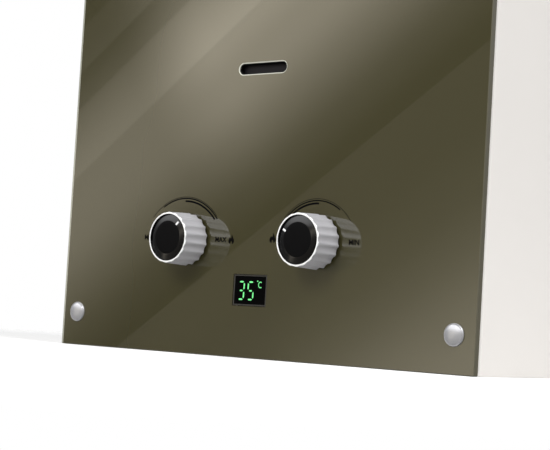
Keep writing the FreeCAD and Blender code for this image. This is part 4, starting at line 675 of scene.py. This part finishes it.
class HEATER_OT_dials(Operator):
    """Print the arcs, words and signs round the knobs"""

    bl_idname = "heater.dials"
    bl_label = "Dials"

    arc_steps = 40
    flame = ((0.05, 0.55, True), (0.30, 0.14, False), (0.42, -0.16, False), (0.28, -0.44, False),
             (0.12, -0.5, True), (0.10, -0.30, False), (0.0, -0.18, False), (-0.08, -0.32, False),
             (-0.10, -0.5, True), (-0.28, -0.44, False), (-0.40, -0.20, False),
             (-0.32, 0.08, False), (-0.20, 0.24, True), (-0.10, 0.12, False))

    def from_curve(self, curve, matrix):
        """A text or filled curve made a mesh, in place."""
        held = add_object("held", curve)
        mesh = bpy.data.meshes.new_from_object(held)
        bpy.data.objects.remove(held)
        bpy.data.curves.remove(curve)
        bm = bmesh.new()
        bm.from_mesh(mesh)
        bpy.data.meshes.remove(mesh)
        bmesh.ops.transform(bm, matrix=matrix, verts=bm.verts)
        return bm

    def word(self, text, x, z, sizes):
        """A printed word, its middle at a place on the glass."""
        curve = bpy.data.curves.new("word", "FONT")
        curve.body = text
        curve.size = sizes.word_size
        curve.align_x = "CENTER"
        curve.align_y = "CENTER"
        curve.offset = 0.16 * MM
        curve.extrude = sizes.print_height / 2
        curve.resolution_u = 3
        return self.from_curve(curve, on_glass(x, z))

    def sign(self, points, x, z, height, sizes):
        """A filled shape from knots (x, y, sharp) in units of its height."""
        curve = bpy.data.curves.new("sign", "CURVE")
        curve.dimensions = "2D"
        curve.fill_mode = "BOTH"
        curve.extrude = sizes.print_height / 2
        curve.resolution_u = 6
        spline = curve.splines.new("BEZIER")
        spline.bezier_points.add(len(points) - 1)
        spline.use_cyclic_u = True
        for knot, (px, py, sharp) in zip(spline.bezier_points, points):
            knot.co = (px * height, py * height, 0)
            knot.handle_left_type = knot.handle_right_type = "VECTOR" if sharp else "AUTO"
        return self.from_curve(curve, on_glass(x, z))

    def execute(self, context):
        sizes = context.scene.heater_sizes
        ink = finish("dial_ink", tuple(context.scene.heater_colours.ink), 0.6, amount=0.1,
                     specular=0.05)
        # each dial: its words, its flame and its arcs round a centre, in mm and degrees
        dials = (
            ("gas_dial", GAS_X, (("MIN", -38.6, 1.0), ("MAX", 27.6, 0.3)), (37.0, 0.7, 6.0),
             (-5.6, -9.5), ((38.4, 0.34, 41, 141), (37.4, 0.85, 39, 123), (35.5, 1.25, 41, 91))),
            ("water_dial", WATER_X, (("MIN", 27.4, 0.1), ("MAX", -27.6, 0.5)), (-38.4, 2.0, 6.2),
             (-3.4, -6.0), ((33.5, 0.34, 36, 148), (32.3, 0.85, 55, 146), (30.5, 1.25, 87, 144))),
        )
        for name, x, words, (flame_x, flame_z, flame_height), centre, arcs in dials:
            bm = bmesh.new()
            place = on_glass(x + centre[0] * MM, KNOB_LEVEL + centre[1] * MM)
            for radius, width, start, end in arcs:
                bar_of_arc = arc_bar(radius * MM - width * MM / 2, radius * MM + width * MM / 2,
                                     sizes.print_height, start, end - start, self.arc_steps)
                merge(bm, bar_of_arc, place)
            for text, across, over in words:
                merge(bm, self.word(text, x + across * MM, KNOB_LEVEL + over * MM, sizes))
            merge(bm, self.sign(self.flame, x + flame_x * MM, KNOB_LEVEL + flame_z * MM,
                                flame_height * MM, sizes))
            piece(name, bm, [ink])
        return {"FINISHED"}


class HEATER_OT_display(Operator):
    """Build the display window with its frame and lit digits"""

    bl_idname = "heater.display"
    bl_label = "Display"

    segments = {"top": ((0.14, 1.0), (0.86, 1.0)), "upper_right": ((1.0, 0.93), (1.0, 0.57)),
                "lower_right": ((1.0, 0.43), (1.0, 0.07)), "bottom": ((0.14, 0.0), (0.86, 0.0)),
                "middle": ((0.22, 0.5), (0.78, 0.5)), "upper_left": ((0.0, 0.93), (0.0, 0.57)),
                "lower_left": ((0.0, 0.43), (0.0, 0.07))}

    stroke_width = 1.05 * MM
    stroke_height = 0.06 * MM

    def stroke(self, start, end):
        """A flat bar with pointed ends between two places."""
        line = Vector(end) - Vector(start)
        along = line.normalized()
        across = Vector((-along.y, along.x)) * self.stroke_width / 2
        tip = along * self.stroke_width / 2
        a, b = Vector(start), Vector(end)
        outline = [a - tip * 0.2, a + tip + across, b - tip + across, b + tip * 0.2,
                   b - tip - across, a + tip - across]
        return slab([(p.x, p.y) for p in reversed(outline)], self.stroke_height)

    def digit(self, lit, left, base, width, height):
        """One digit from the names of its lit segments."""
        bm = bmesh.new()
        slant = Matrix(((1, 0.03, 0, 0), (0, 1, 0, 0), (0, 0, 1, 0), (0, 0, 0, 1)))
        for name in lit:
            (ax, ay), (bx, by) = self.segments[name]
            merge(bm, self.stroke((ax * width, ay * height), (bx * width, by * height)))
        bmesh.ops.transform(bm, matrix=Matrix.Translation((left, base, 0)) @ slant, verts=bm.verts)
        return bm

    def execute(self, context):
        sizes = context.scene.heater_sizes
        colours = context.scene.heater_colours
        low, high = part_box("display_lens")
        middle_x, _, middle_z = middle_of((low, high))
        width, height, out = 14.05 * MM, 10.0 * MM, GLASS_FRONT - low.y
        bezel = finish("display_bezel", (0.027, 0.025, 0.022), 0.4, amount=0.15, patch=160)
        window = finish("display_window", (0.0004, 0.0005, 0.0009), 0.12, amount=0.1, bump=0.0,
                        specular=0.08)
        block = bar((-width, width), (-height, height), (-6.6 * MM, out))
        ease(block, [edge for edge in block.edges if all(v.co.z > 0.5 * out for v in edge.verts)],
             0.25 * MM)
        front = max(block.faces, key=lambda face: face.calc_center_median().z)
        bmesh.ops.inset_region(block, faces=[front], thickness=1.05 * MM, depth=0)
        bmesh.ops.inset_region(block, faces=[front], thickness=0.2 * MM, depth=-0.22 * MM)
        front.material_index = 1
        back = bar((low.x - middle_x, high.x - middle_x), (low.z - middle_z, high.z - middle_z),
                   (GLASS_FRONT - high.y, GLASS_FRONT - high.y + 1.5 * MM), 0.3 * MM)
        merge(block, back)
        piece("display_window", block, [bezel, window], stands_for=["display_lens"],
              matrix=on_glass(middle_x, middle_z))
        material, tree, shader, vector = blank_material("digit_light")
        tone = add_group(tree, variation_group(), Vector=vector, Colour=(*colours.digits, 1),
                         Amount=0.25, Scale=420, Roughness=0.4)
        feed(tree, shader, {"Emission Color": tone.outputs["Colour"], "Emission Strength": 1.0,
                            "Base Color": (0.01, 0.06, 0.02, 1), "Roughness": 0.4})
        tall = sizes.digit_height
        digits = bmesh.new()
        for upper, left in (("upper_right", -9.9 * MM), ("upper_left", -1.9 * MM)):
            lit = ("top", upper, "middle", "lower_right", "bottom")
            merge(digits, self.digit(lit, left, -6.0 * MM, 4.5 * MM, tall))
        dot = lathe([(0.15 * MM, 0), (0.52 * MM, 0), (0.52 * MM, self.stroke_height),
                     (0.15 * MM, self.stroke_height)], steps=20, closed=True)
        merge(digits, dot, Matrix.Translation((6.2 * MM, 6.1 * MM, 0)))
        letter = arc_bar(1.6 * MM, 2.2 * MM, self.stroke_height, 52, 256, 28)
        bmesh.ops.scale(letter, vec=(0.82, 0.96, 1), verts=letter.verts)
        merge(digits, letter, Matrix.Translation((8.6 * MM, 3.8 * MM, 0)))
        piece("display_digits", digits, [material],
              matrix=on_glass(middle_x, middle_z, 0, out - 0.20 * MM), limit=20)
        board = finish("board_green", (0.012, 0.075, 0.025), 0.4, coat=0.3, amount=0.2, patch=500)
        dress("display_board", board)
        return {"FINISHED"}


class HEATER_OT_caps(Operator):
    """Build the four domed screw caps"""

    bl_idname = "heater.caps"
    bl_label = "Screw caps"

    def execute(self, context):
        sizes = context.scene.heater_sizes
        colours = context.scene.heater_colours
        metal = finish("cap_metal", tuple(colours.cap), 0.33, 0.48, amount=0.06, patch=260, grain=2600,
                       bump=0.06, relief=0.00002)
        radius, height = sizes.cap_radius, sizes.cap_height
        crown_radius, crown_drop, crown_steps = radius * 0.86, 1.25 * MM, 8
        for number in range(1, 5):
            x, _, z = middle_of(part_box(f"screw_cap_{number}"))
            points = [(0, height)]
            for step in range(1, crown_steps + 1):
                share = step / crown_steps
                points.append((crown_radius * share, height - crown_drop * share ** 2.2))
            points += [(radius * 0.885, height - 1.62 * MM), (radius * 0.91, height - 1.66 * MM),
                       (radius * 0.935, height - 1.42 * MM), (radius * 0.96, height - 1.38 * MM),
                       (radius * 0.985, height - 1.55 * MM), (radius, height - 2.0 * MM),
                       (radius, 0.02 * MM), (radius * 0.84, 0.02 * MM), (radius * 0.84, 0.3 * MM),
                       (radius * 0.6, height - 1.9 * MM), (0, height - 1.2 * MM)]
            piece(f"screw_cap_dome_{number}", lathe(points, steps=56), [metal],
                  stands_for=[f"screw_cap_{number}"], matrix=on_glass(x, z), limit=40)
        return {"FINISHED"}


class HEATER_OT_top(Operator):
    """Finish the flue guard, the handle and its lugs"""

    bl_idname = "heater.top"
    bl_label = "Guard and handle"

    def execute(self, context):
        sizes = context.scene.heater_sizes
        colours = context.scene.heater_colours
        stainless = finish("stainless_sheet", (0.60, 0.60, 0.59), 0.28, 0.95, amount=0.06, patch=60,
                           grain=1800, stretch=(0.05, 1, 1), bump=0.14, relief=0.00003, dust=0.1)
        steel = bpy.data.materials["zinc_steel"]
        # Near black for the guard screws' recesses: painted shade.
        recess_shade = bpy.data.materials["recess_painted_shade"]
        dress("flue_guard", stainless)
        low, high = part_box("flue_guard")
        screws = bmesh.new()
        for x in (low.x + 2.6 * MM, high.x - 2.6 * MM):
            for y in (low.y + 12 * MM, high.y - 12 * MM):
                merge(screws, cross_screw(2.2 * MM, 1.3 * MM),
                      Matrix.Translation((x, y, low.z + 1.0 * MM)))
        piece("guard_screws", screws, [steel, recess_shade])
        dress("handle_bail", finish("chromed_rod", (0.60, 0.60, 0.61), 0.16, 0.98, amount=0.03))
        dress("handle_lug_left", bpy.data.materials["powder_coat"], "handle_lug_right")
        rivets = bmesh.new()
        for node, outer_side, inward in (("handle_lug_left", 0, 1), ("handle_lug_right", 1, -1)):
            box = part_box(node)
            x = box[outer_side].x + inward * 5.4 * MM
            for y in (box[0].y + 5 * MM, box[1].y - 5 * MM):
                head = lathe([(0, 1.4 * MM), (1.4 * MM, 1.2 * MM), (2.2 * MM, 0.5 * MM),
                              (2.3 * MM, 0), (0, 0)], steps=20)
                merge(rivets, head, Matrix.Translation((x, y, box[0].z + 2 * MM)))
        piece("lug_rivets", rivets, [steel])
        low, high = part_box("handle_grip")
        middle = (low + high) / 2
        half = (high.x - low.x) / 2
        outer = (high.z - low.z) / 2
        plain = 6 * MM
        points = [(4.1 * MM, -half + 0.4 * MM), (outer - 1.2 * MM, -half + 0.02 * MM),
                  (outer - 0.1 * MM, -half + 1.0 * MM), (outer - 0.05 * MM, -half + 3.4 * MM),
                  (outer - 0.9 * MM, -half + 4.4 * MM)]
        pitch = (2 * half - 2 * plain) / sizes.grip_ribs
        for rib in range(sizes.grip_ribs):
            start = -half + plain + pitch * rib
            for share, drop in ((0.0, 1.0), (0.14, 0.95), (0.28, 0.3), (0.5, 0.12), (0.72, 0.3),
                                (0.86, 0.95)):
                points.append((outer - drop * MM, start + pitch * share))
        points += [(r, -z) for r, z in reversed(points[:5])]
        grip = lathe(points, steps=64, closed=True)
        rubber = finish("grip_rubber", tuple(colours.rubber), 0.62, amount=0.12, patch=80,
                        grain=1500, bump=0.25, relief=0.0001)
        place = Matrix.Translation(middle) @ Matrix.Rotation(math.pi / 2, 4, "Y")
        piece("handle_grip_sleeve", grip, [rubber], "handle", ["handle_grip"],
              place, 50)
        return {"FINISHED"}


class HEATER_OT_connections(Operator):
    """Build the threaded pipe stubs and finish the valves and pipes"""

    bl_idname = "heater.connections"
    bl_label = "Connections"

    def stub(self, sizes, low, high, floor):
        """Threaded stub with its flange, neck and lock nut, open below."""
        pitch = sizes.thread_pitch
        neck, flange, root, crest, bore = (r * MM for r in (11.5, 14.0, 9.35, 10.42, 7.5))
        mouth = low.z + 0.02 * MM
        bore_end = low.z + 16 * MM
        points = [(0, high.z), (neck, high.z), (neck, floor), (flange, floor - 0.1 * MM),
                  (flange, floor - 3.6 * MM), (13.5 * MM, floor - 4.0 * MM),
                  (9.4 * MM, floor - 4.0 * MM)]
        level = floor - 5.0 * MM
        while level > low.z + 1.4 * MM:
            points += [(root, level), (crest, level - pitch * 0.36),
                       (crest, level - pitch * 0.5), (root, level - pitch * 0.86)]
            level -= pitch
        points += [(9.2 * MM, mouth), (bore, mouth), (bore, bore_end), (0, bore_end)]
        bm = lathe(points, steps=48)
        nut = bmesh.new()
        bmesh.ops.create_cone(nut, cap_ends=True, segments=6, radius1=15 * MM, radius2=15 * MM,
                              depth=7 * MM)
        level_edges = [edge for edge in nut.edges
                       if abs(edge.verts[0].co.z - edge.verts[1].co.z) < 0.1 * MM]
        ease(nut, level_edges, 0.8 * MM)
        merge(bm, nut, Matrix.Translation((0, 0, floor + 4.5 * MM)))
        return bm

    def execute(self, context):
        sizes = context.scene.heater_sizes
        colours = context.scene.heater_colours
        brass = finish("turned_brass", tuple(colours.brass), 0.26, 0.98, amount=0.10, patch=120,
                       grain=1600, stretch=(1, 1, 6), bump=0.06, relief=0.00003)
        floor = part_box("bottom_plate")[0].z
        for name in ("gas_inlet", "cold_inlet", "hot_outlet"):
            low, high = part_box(f"{name}_fitting")
            middle = (low + high) / 2
            piece(f"{name}_stub", self.stub(sizes, low, high, floor), [brass], "casing",
                  [f"{name}_fitting"], Matrix.Translation((middle.x, middle.y, 0)), 30)
        dress("gas_spindle", brass, "water_spindle", "push_pin", "water_valve_body",
              "diaphragm_cover", "gas_solenoid")
        cast = finish("cast_alloy", (0.46, 0.46, 0.47), 0.42, 0.9, amount=0.12, patch=90, grain=1100,
                      bump=0.35, relief=0.00012)
        dress("gas_valve_body", cast, "gas_manifold")
        copper = finish("tinned_copper", tuple(colours.copper), 0.30, 0.95, amount=0.22, patch=45,
                        grain=1200, bump=0.08, relief=0.00004)
        dress("combustion_chamber", copper, "exchanger_tubes", "exchanger_fins", "inlet_pipe",
              "outlet_pipe")
        stainless = bpy.data.materials["stainless_sheet"]
        dress("burner_blades", stainless, "burner_frame", "water_sensor")
        ceramic = finish("glazed_ceramic", (0.78, 0.76, 0.70), 0.22, amount=0.03, coat=0.5)
        dress("ignition_electrode", ceramic, "flame_sensor")
        return {"FINISHED"}


class HEATER_OT_electrics(Operator):
    """Finish the battery box, its hatch and cells, the igniter, the switches and the drain plug"""

    bl_idname = "heater.electrics"
    bl_label = "Batteries and igniter"

    def execute(self, context):
        plastic = finish("moulded_black", (0.016, 0.016, 0.017), 0.48, amount=0.12, patch=60,
                         grain=1700, bump=0.3, relief=0.00008)
        dress("battery_box", plastic, "battery_hatch", "igniter_module", "micro_switch",
              "switch_button", "overheat_switch", "drain_plug")
        sleeve = finish("cell_sleeve", (0.012, 0.03, 0.06), 0.25, amount=0.1, coat=0.6)
        dress("battery_left", sleeve, "battery_right")
        dress("battery_contacts", bpy.data.materials["zinc_steel"])
        low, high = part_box("battery_hatch")
        arrow = slab([(-3.2 * MM, 0), (3.2 * MM, 0), (0, 4.4 * MM)], 0.25 * MM)
        place = Matrix.Translation(((low.x + high.x) / 2, low.y + 8 * MM, low.z + 1.52 * MM))
        piece("hatch_arrow", arrow, [plastic], "battery_lid",
              matrix=place @ Matrix.Rotation(math.pi, 4, "Y"))
        return {"FINISHED"}


class HEATER_OT_stage(Operator):
    """Set the floor, the soft light, the surroundings that the glass mirrors, and the camera"""

    bl_idname = "heater.stage"
    bl_label = "Stage"

    floor_radius = 0.8
    floor_fade = (0.36, 0.70)
    floor_lift = 0.32
    shade_light = 0.45
    white = (1, 1, 1, 1)

    # The lit wall that the glass mirrors, in mm. It goes by direction alone: wall_away is how
    # far off it would stand, and wall_x and wall_z are the place on it straight ahead. Its
    # strips slant, and lean is the level at which a slanting line meets wall_x = 0.
    wall_away, wall_x, wall_z = 792.8, 683.0, 26.9
    wall_slope = -0.70
    wall_tint = (1.0, 0.91, 0.755)
    wall_gain, wall_least = 2.9, 0.05
    dim = 0.54
    swell_way = (0.82, 0.57)
    swell_span = (5, 85)
    upper_span, upper_share = (205, 236), 0.41
    first_edge, first_slant, first_change = 80.3, 0.029, -0.0605
    edges = ((238.4, 0.175), (289, -0.13), (316.5, 0.105), (350.4, -0.07))
    glow_ends = (-700.0, 400.0)
    glow = ((-700, 0.03), (-260, 0.06), (-190, 0.16), (-150, 0.42), (-128, 0.60), (-104, 0.54),
            (-74, 0.385), (-44, 0.218), (-14, 0.118), (10, 0.092), (30, 0.073), (78, 0.073),
            (90, 0.083), (118, 0.1775), (132, 0.2815), (160, 0.5395), (174, 0.6985),
            (188, 0.8215), (202, 0.8605), (216, 0.8755), (240, 0.853), (252, 0.7725),
            (268, 0.5985), (283, 0.4165), (289, 0.3155), (301, 0.2205), (313, 0.1235),
            (324.5, 0.0855), (340, 0.0395), (352, 0.02), (365, 0.0))

    def floor(self):
        """A round white floor that fades out and is seen neither in mirrors nor from below."""
        bm = bmesh.new()
        bmesh.ops.create_circle(bm, cap_ends=True, segments=64, radius=self.floor_radius)
        mesh = bpy.data.meshes.new("studio_floor")
        bm.to_mesh(mesh)
        bm.free()
        item = add_object("studio_floor", mesh)
        item.location = (0, 0, -0.0002)
        material = bpy.data.materials.new("studio_floor_white")
        material.use_nodes = True
        tree = material.node_tree
        tree.nodes.clear()
        vector = add_node(tree, "TexCoord").outputs["Object"]
        length = add_node(tree, "VectorMath", {0: vector}, operation="LENGTH")
        fade = smooth_step(tree, length.outputs["Value"], *self.floor_fade)
        paper = add_node(tree, "BsdfDiffuse", {"Color": (0.86, 0.86, 0.86, 1)}).outputs[0]
        lift = add_node(tree, "Emission", {"Strength": self.floor_lift}).outputs[0]
        lit = add_node(tree, "AddShader", {0: paper, 1: lift}).outputs[0]
        path = add_node(tree, "LightPath").outputs
        seen = mix_shaders(tree, path["Is Camera Ray"], paper, lit)
        nothing = add_node(tree, "BsdfTransparent").outputs[0]
        under = add_node(tree, "NewGeometry").outputs["Backfacing"]
        unseen = math_node(tree, "MAXIMUM", path["Is Glossy Ray"], under)
        gone = math_node(tree, "MAXIMUM", fade, unseen)
        add_node(tree, "OutputMaterial", {"Surface": mix_shaders(tree, gone, seen, nothing)})
        mesh.materials.append(material)

    def strips(self, tree, wall_x, wall_z, lean):
        """Brightness of the lit wall: a slow glow over the slant, with crisp edges across it."""
        def maths(operation, *values):
            return math_node(tree, operation, *values)

        first, last = self.glow_ends
        spread = add_node(tree, "MapRange", {"Value": lean, "From Min": first, "From Max": last})
        soft = add_node(tree, "ValToRGB", {"Fac": spread.outputs["Result"]})
        soft.color_ramp.interpolation = "LINEAR"
        ramp = soft.color_ramp.elements
        for index, (place, light) in enumerate(self.glow):
            share = (place - first) / (last - first)
            stop = ramp[index] if index < 2 else ramp.new(share)
            stop.position = share
            stop.color = (light, light, light, 1)
        level = soft.outputs["Color"]
        first_lean = maths("MULTIPLY_ADD", wall_x, self.first_slant, lean)
        for tilt, place, change in ((first_lean, self.first_edge, self.first_change),
                                    *((lean, place, change) for place, change in self.edges)):
            level = maths("MULTIPLY_ADD", maths("GREATER_THAN", tilt, place), change, level)
        along = maths("ADD", maths("MULTIPLY", wall_x, self.swell_way[0]),
                      maths("MULTIPLY", wall_z, self.swell_way[1]))
        swell = smooth_step(tree, along, *self.swell_span, self.dim)
        upper = smooth_step(tree, lean, *self.upper_span, 0.0, self.upper_share)
        level = maths("MULTIPLY_ADD", upper, maths("SUBTRACT", swell, self.dim), level)
        full = maths("MAXIMUM", swell, maths("LESS_THAN", first_lean, self.first_edge))
        return maths("MULTIPLY_ADD", maths("MULTIPLY", level, full), self.wall_gain, self.wall_least)

    def surroundings(self):
        """White to the eye; in mirrors, a soft room with slanting strips of light in front."""
        world = bpy.data.worlds.new("soft_room")
        bpy.context.scene.world = world
        world.use_nodes = True
        tree = world.node_tree
        tree.nodes.clear()

        def maths(operation, *values):
            return math_node(tree, operation, *values)

        def background(colour, strength=1.0):
            return add_node(tree, "Background", {"Color": colour, "Strength": strength}).outputs[0]

        way = add_node(tree, "TexCoord").outputs["Generated"]
        x, y, z = add_node(tree, "SeparateXYZ", {0: way}).outputs
        ahead = maths("MAXIMUM", maths("MULTIPLY", y, -1.0), 0.05)
        wall_x = maths("MULTIPLY_ADD", maths("DIVIDE", x, ahead), self.wall_away, self.wall_x)
        wall_z = maths("MULTIPLY_ADD", maths("DIVIDE", z, ahead), self.wall_away, self.wall_z)
        lean = maths("MULTIPLY_ADD", wall_x, self.wall_slope, wall_z)
        wall = scale_colour(tree, self.wall_tint, self.strips(tree, wall_x, wall_z, lean))
        ceiling = smooth_step(tree, z, 0.0, 0.6, 0.14, 1.1)
        above = smooth_step(tree, z, 0.18, 0.46, 0.0, 2.0)
        in_front = smooth_step(tree, ahead, 0.15, 0.45)
        room = maths("MULTIPLY_ADD", above, in_front, ceiling)
        below_top = smooth_step(tree, wall_z, 285, 360, 1.0, 0.0)
        facing = smooth_step(tree, ahead, 0.5, 0.62)
        on_wall = maths("MULTIPLY", below_top, facing)
        mirrored = background(mix_colours(tree, on_wall, room, wall))
        path = add_node(tree, "LightPath").outputs
        light = mix_shaders(tree, path["Is Glossy Ray"], background(self.white, self.shade_light),
                            mirrored)
        plain = maths("MAXIMUM", path["Is Camera Ray"], path["Is Transmission Ray"])
        seen = mix_shaders(tree, plain, light, background(self.white))
        add_node(tree, "OutputWorld", {"Surface": seen})

    def lamp(self, name, place, target, size, power, mirrored):
        """A round lamp turned to a target, shown in mirrors or not."""
        data = bpy.data.lights.new(name, "AREA")
        data.shape = "DISK"
        data.size = size
        data.energy = power
        item = add_object(name, data)
        item.location = place
        item.rotation_euler = (Vector(target) - Vector(place)).to_track_quat("-Z", "Y").to_euler()
        item.visible_glossy = mirrored

    def camera(self):
        """The camera, low to the right of the front and rolled a little."""
        azimuth, height, roll = (math.radians(value) for value in (39.975, -3.311, 3.415))
        eye = (0.68303, -0.85907, 0.02689)
        back = Vector((math.sin(azimuth) * math.cos(height),
                       -math.cos(azimuth) * math.cos(height), math.sin(height)))
        right = (-back).cross(Vector((0, 0, 1))).normalized()
        over = right.cross(-back)
        side = right * math.cos(roll) + over * math.sin(roll)
        top = over * math.cos(roll) - right * math.sin(roll)
        data = bpy.data.cameras.new("camera")
        data.sensor_fit = "HORIZONTAL"
        data.sensor_width = 36
        data.lens = 105.33
        data.clip_start = 0.01
        item = add_object("camera", data)
        item.matrix_world = Matrix((*zip(side, top, back, eye), (0, 0, 0, 1)))
        bpy.context.scene.camera = item

    def execute(self, context):
        self.floor()
        self.surroundings()
        self.lamp("key_lamp", place=(0.05, -1.7, 1.1), target=(0, -0.02, 0.2), size=0.9, power=19,
                  mirrored=False)
        self.lamp("side_lamp", place=(1.7, -0.5, 2.0), target=(0.1, 0, 0.2), size=1.1, power=41,
                  mirrored=True)
        self.camera()
        context.scene.view_settings.view_transform = "Standard"
        return {"FINISHED"}


class HEATER_PT_panel(Panel):
    """Lists the heater's pieces in the sidebar"""

    bl_label = "Water heater"
    bl_idname = "HEATER_PT_panel"
    bl_space_type = "VIEW_3D"
    bl_region_type = "UI"
    bl_category = "Heater"

    def draw(self, context):
        layout = self.layout
        for group in (context.scene.heater_sizes, context.scene.heater_colours):
            column = layout.column(align=True)
            for name in group.__annotations__:
                column.prop(group, name)
        for operator in STEPS:
            layout.operator(operator.bl_idname)


STEPS = (HEATER_OT_stage, HEATER_OT_glass, HEATER_OT_casing, HEATER_OT_knobs, HEATER_OT_dials,
         HEATER_OT_display, HEATER_OT_caps, HEATER_OT_top, HEATER_OT_connections,
         HEATER_OT_electrics)
CLASSES = (HeaterSizes, HeaterColours, *STEPS, HEATER_PT_panel)


def register():
    for item in CLASSES:
        bpy.utils.register_class(item)
    bpy.types.Scene.heater_sizes = PointerProperty(type=HeaterSizes)
    bpy.types.Scene.heater_colours = PointerProperty(type=HeaterColours)


def unregister():
    del bpy.types.Scene.heater_colours
    del bpy.types.Scene.heater_sizes
    for item in reversed(CLASSES):
        bpy.utils.unregister_class(item)


def main():
    register()
    bpy.ops.heater.stage()
    bpy.ops.heater.glass()
    bpy.ops.heater.casing()
    bpy.ops.heater.knobs()
    bpy.ops.heater.dials()
    bpy.ops.heater.display()
    bpy.ops.heater.caps()
    bpy.ops.heater.top()
    bpy.ops.heater.connections()
    bpy.ops.heater.electrics()


if __name__ == "__main__":
    main()
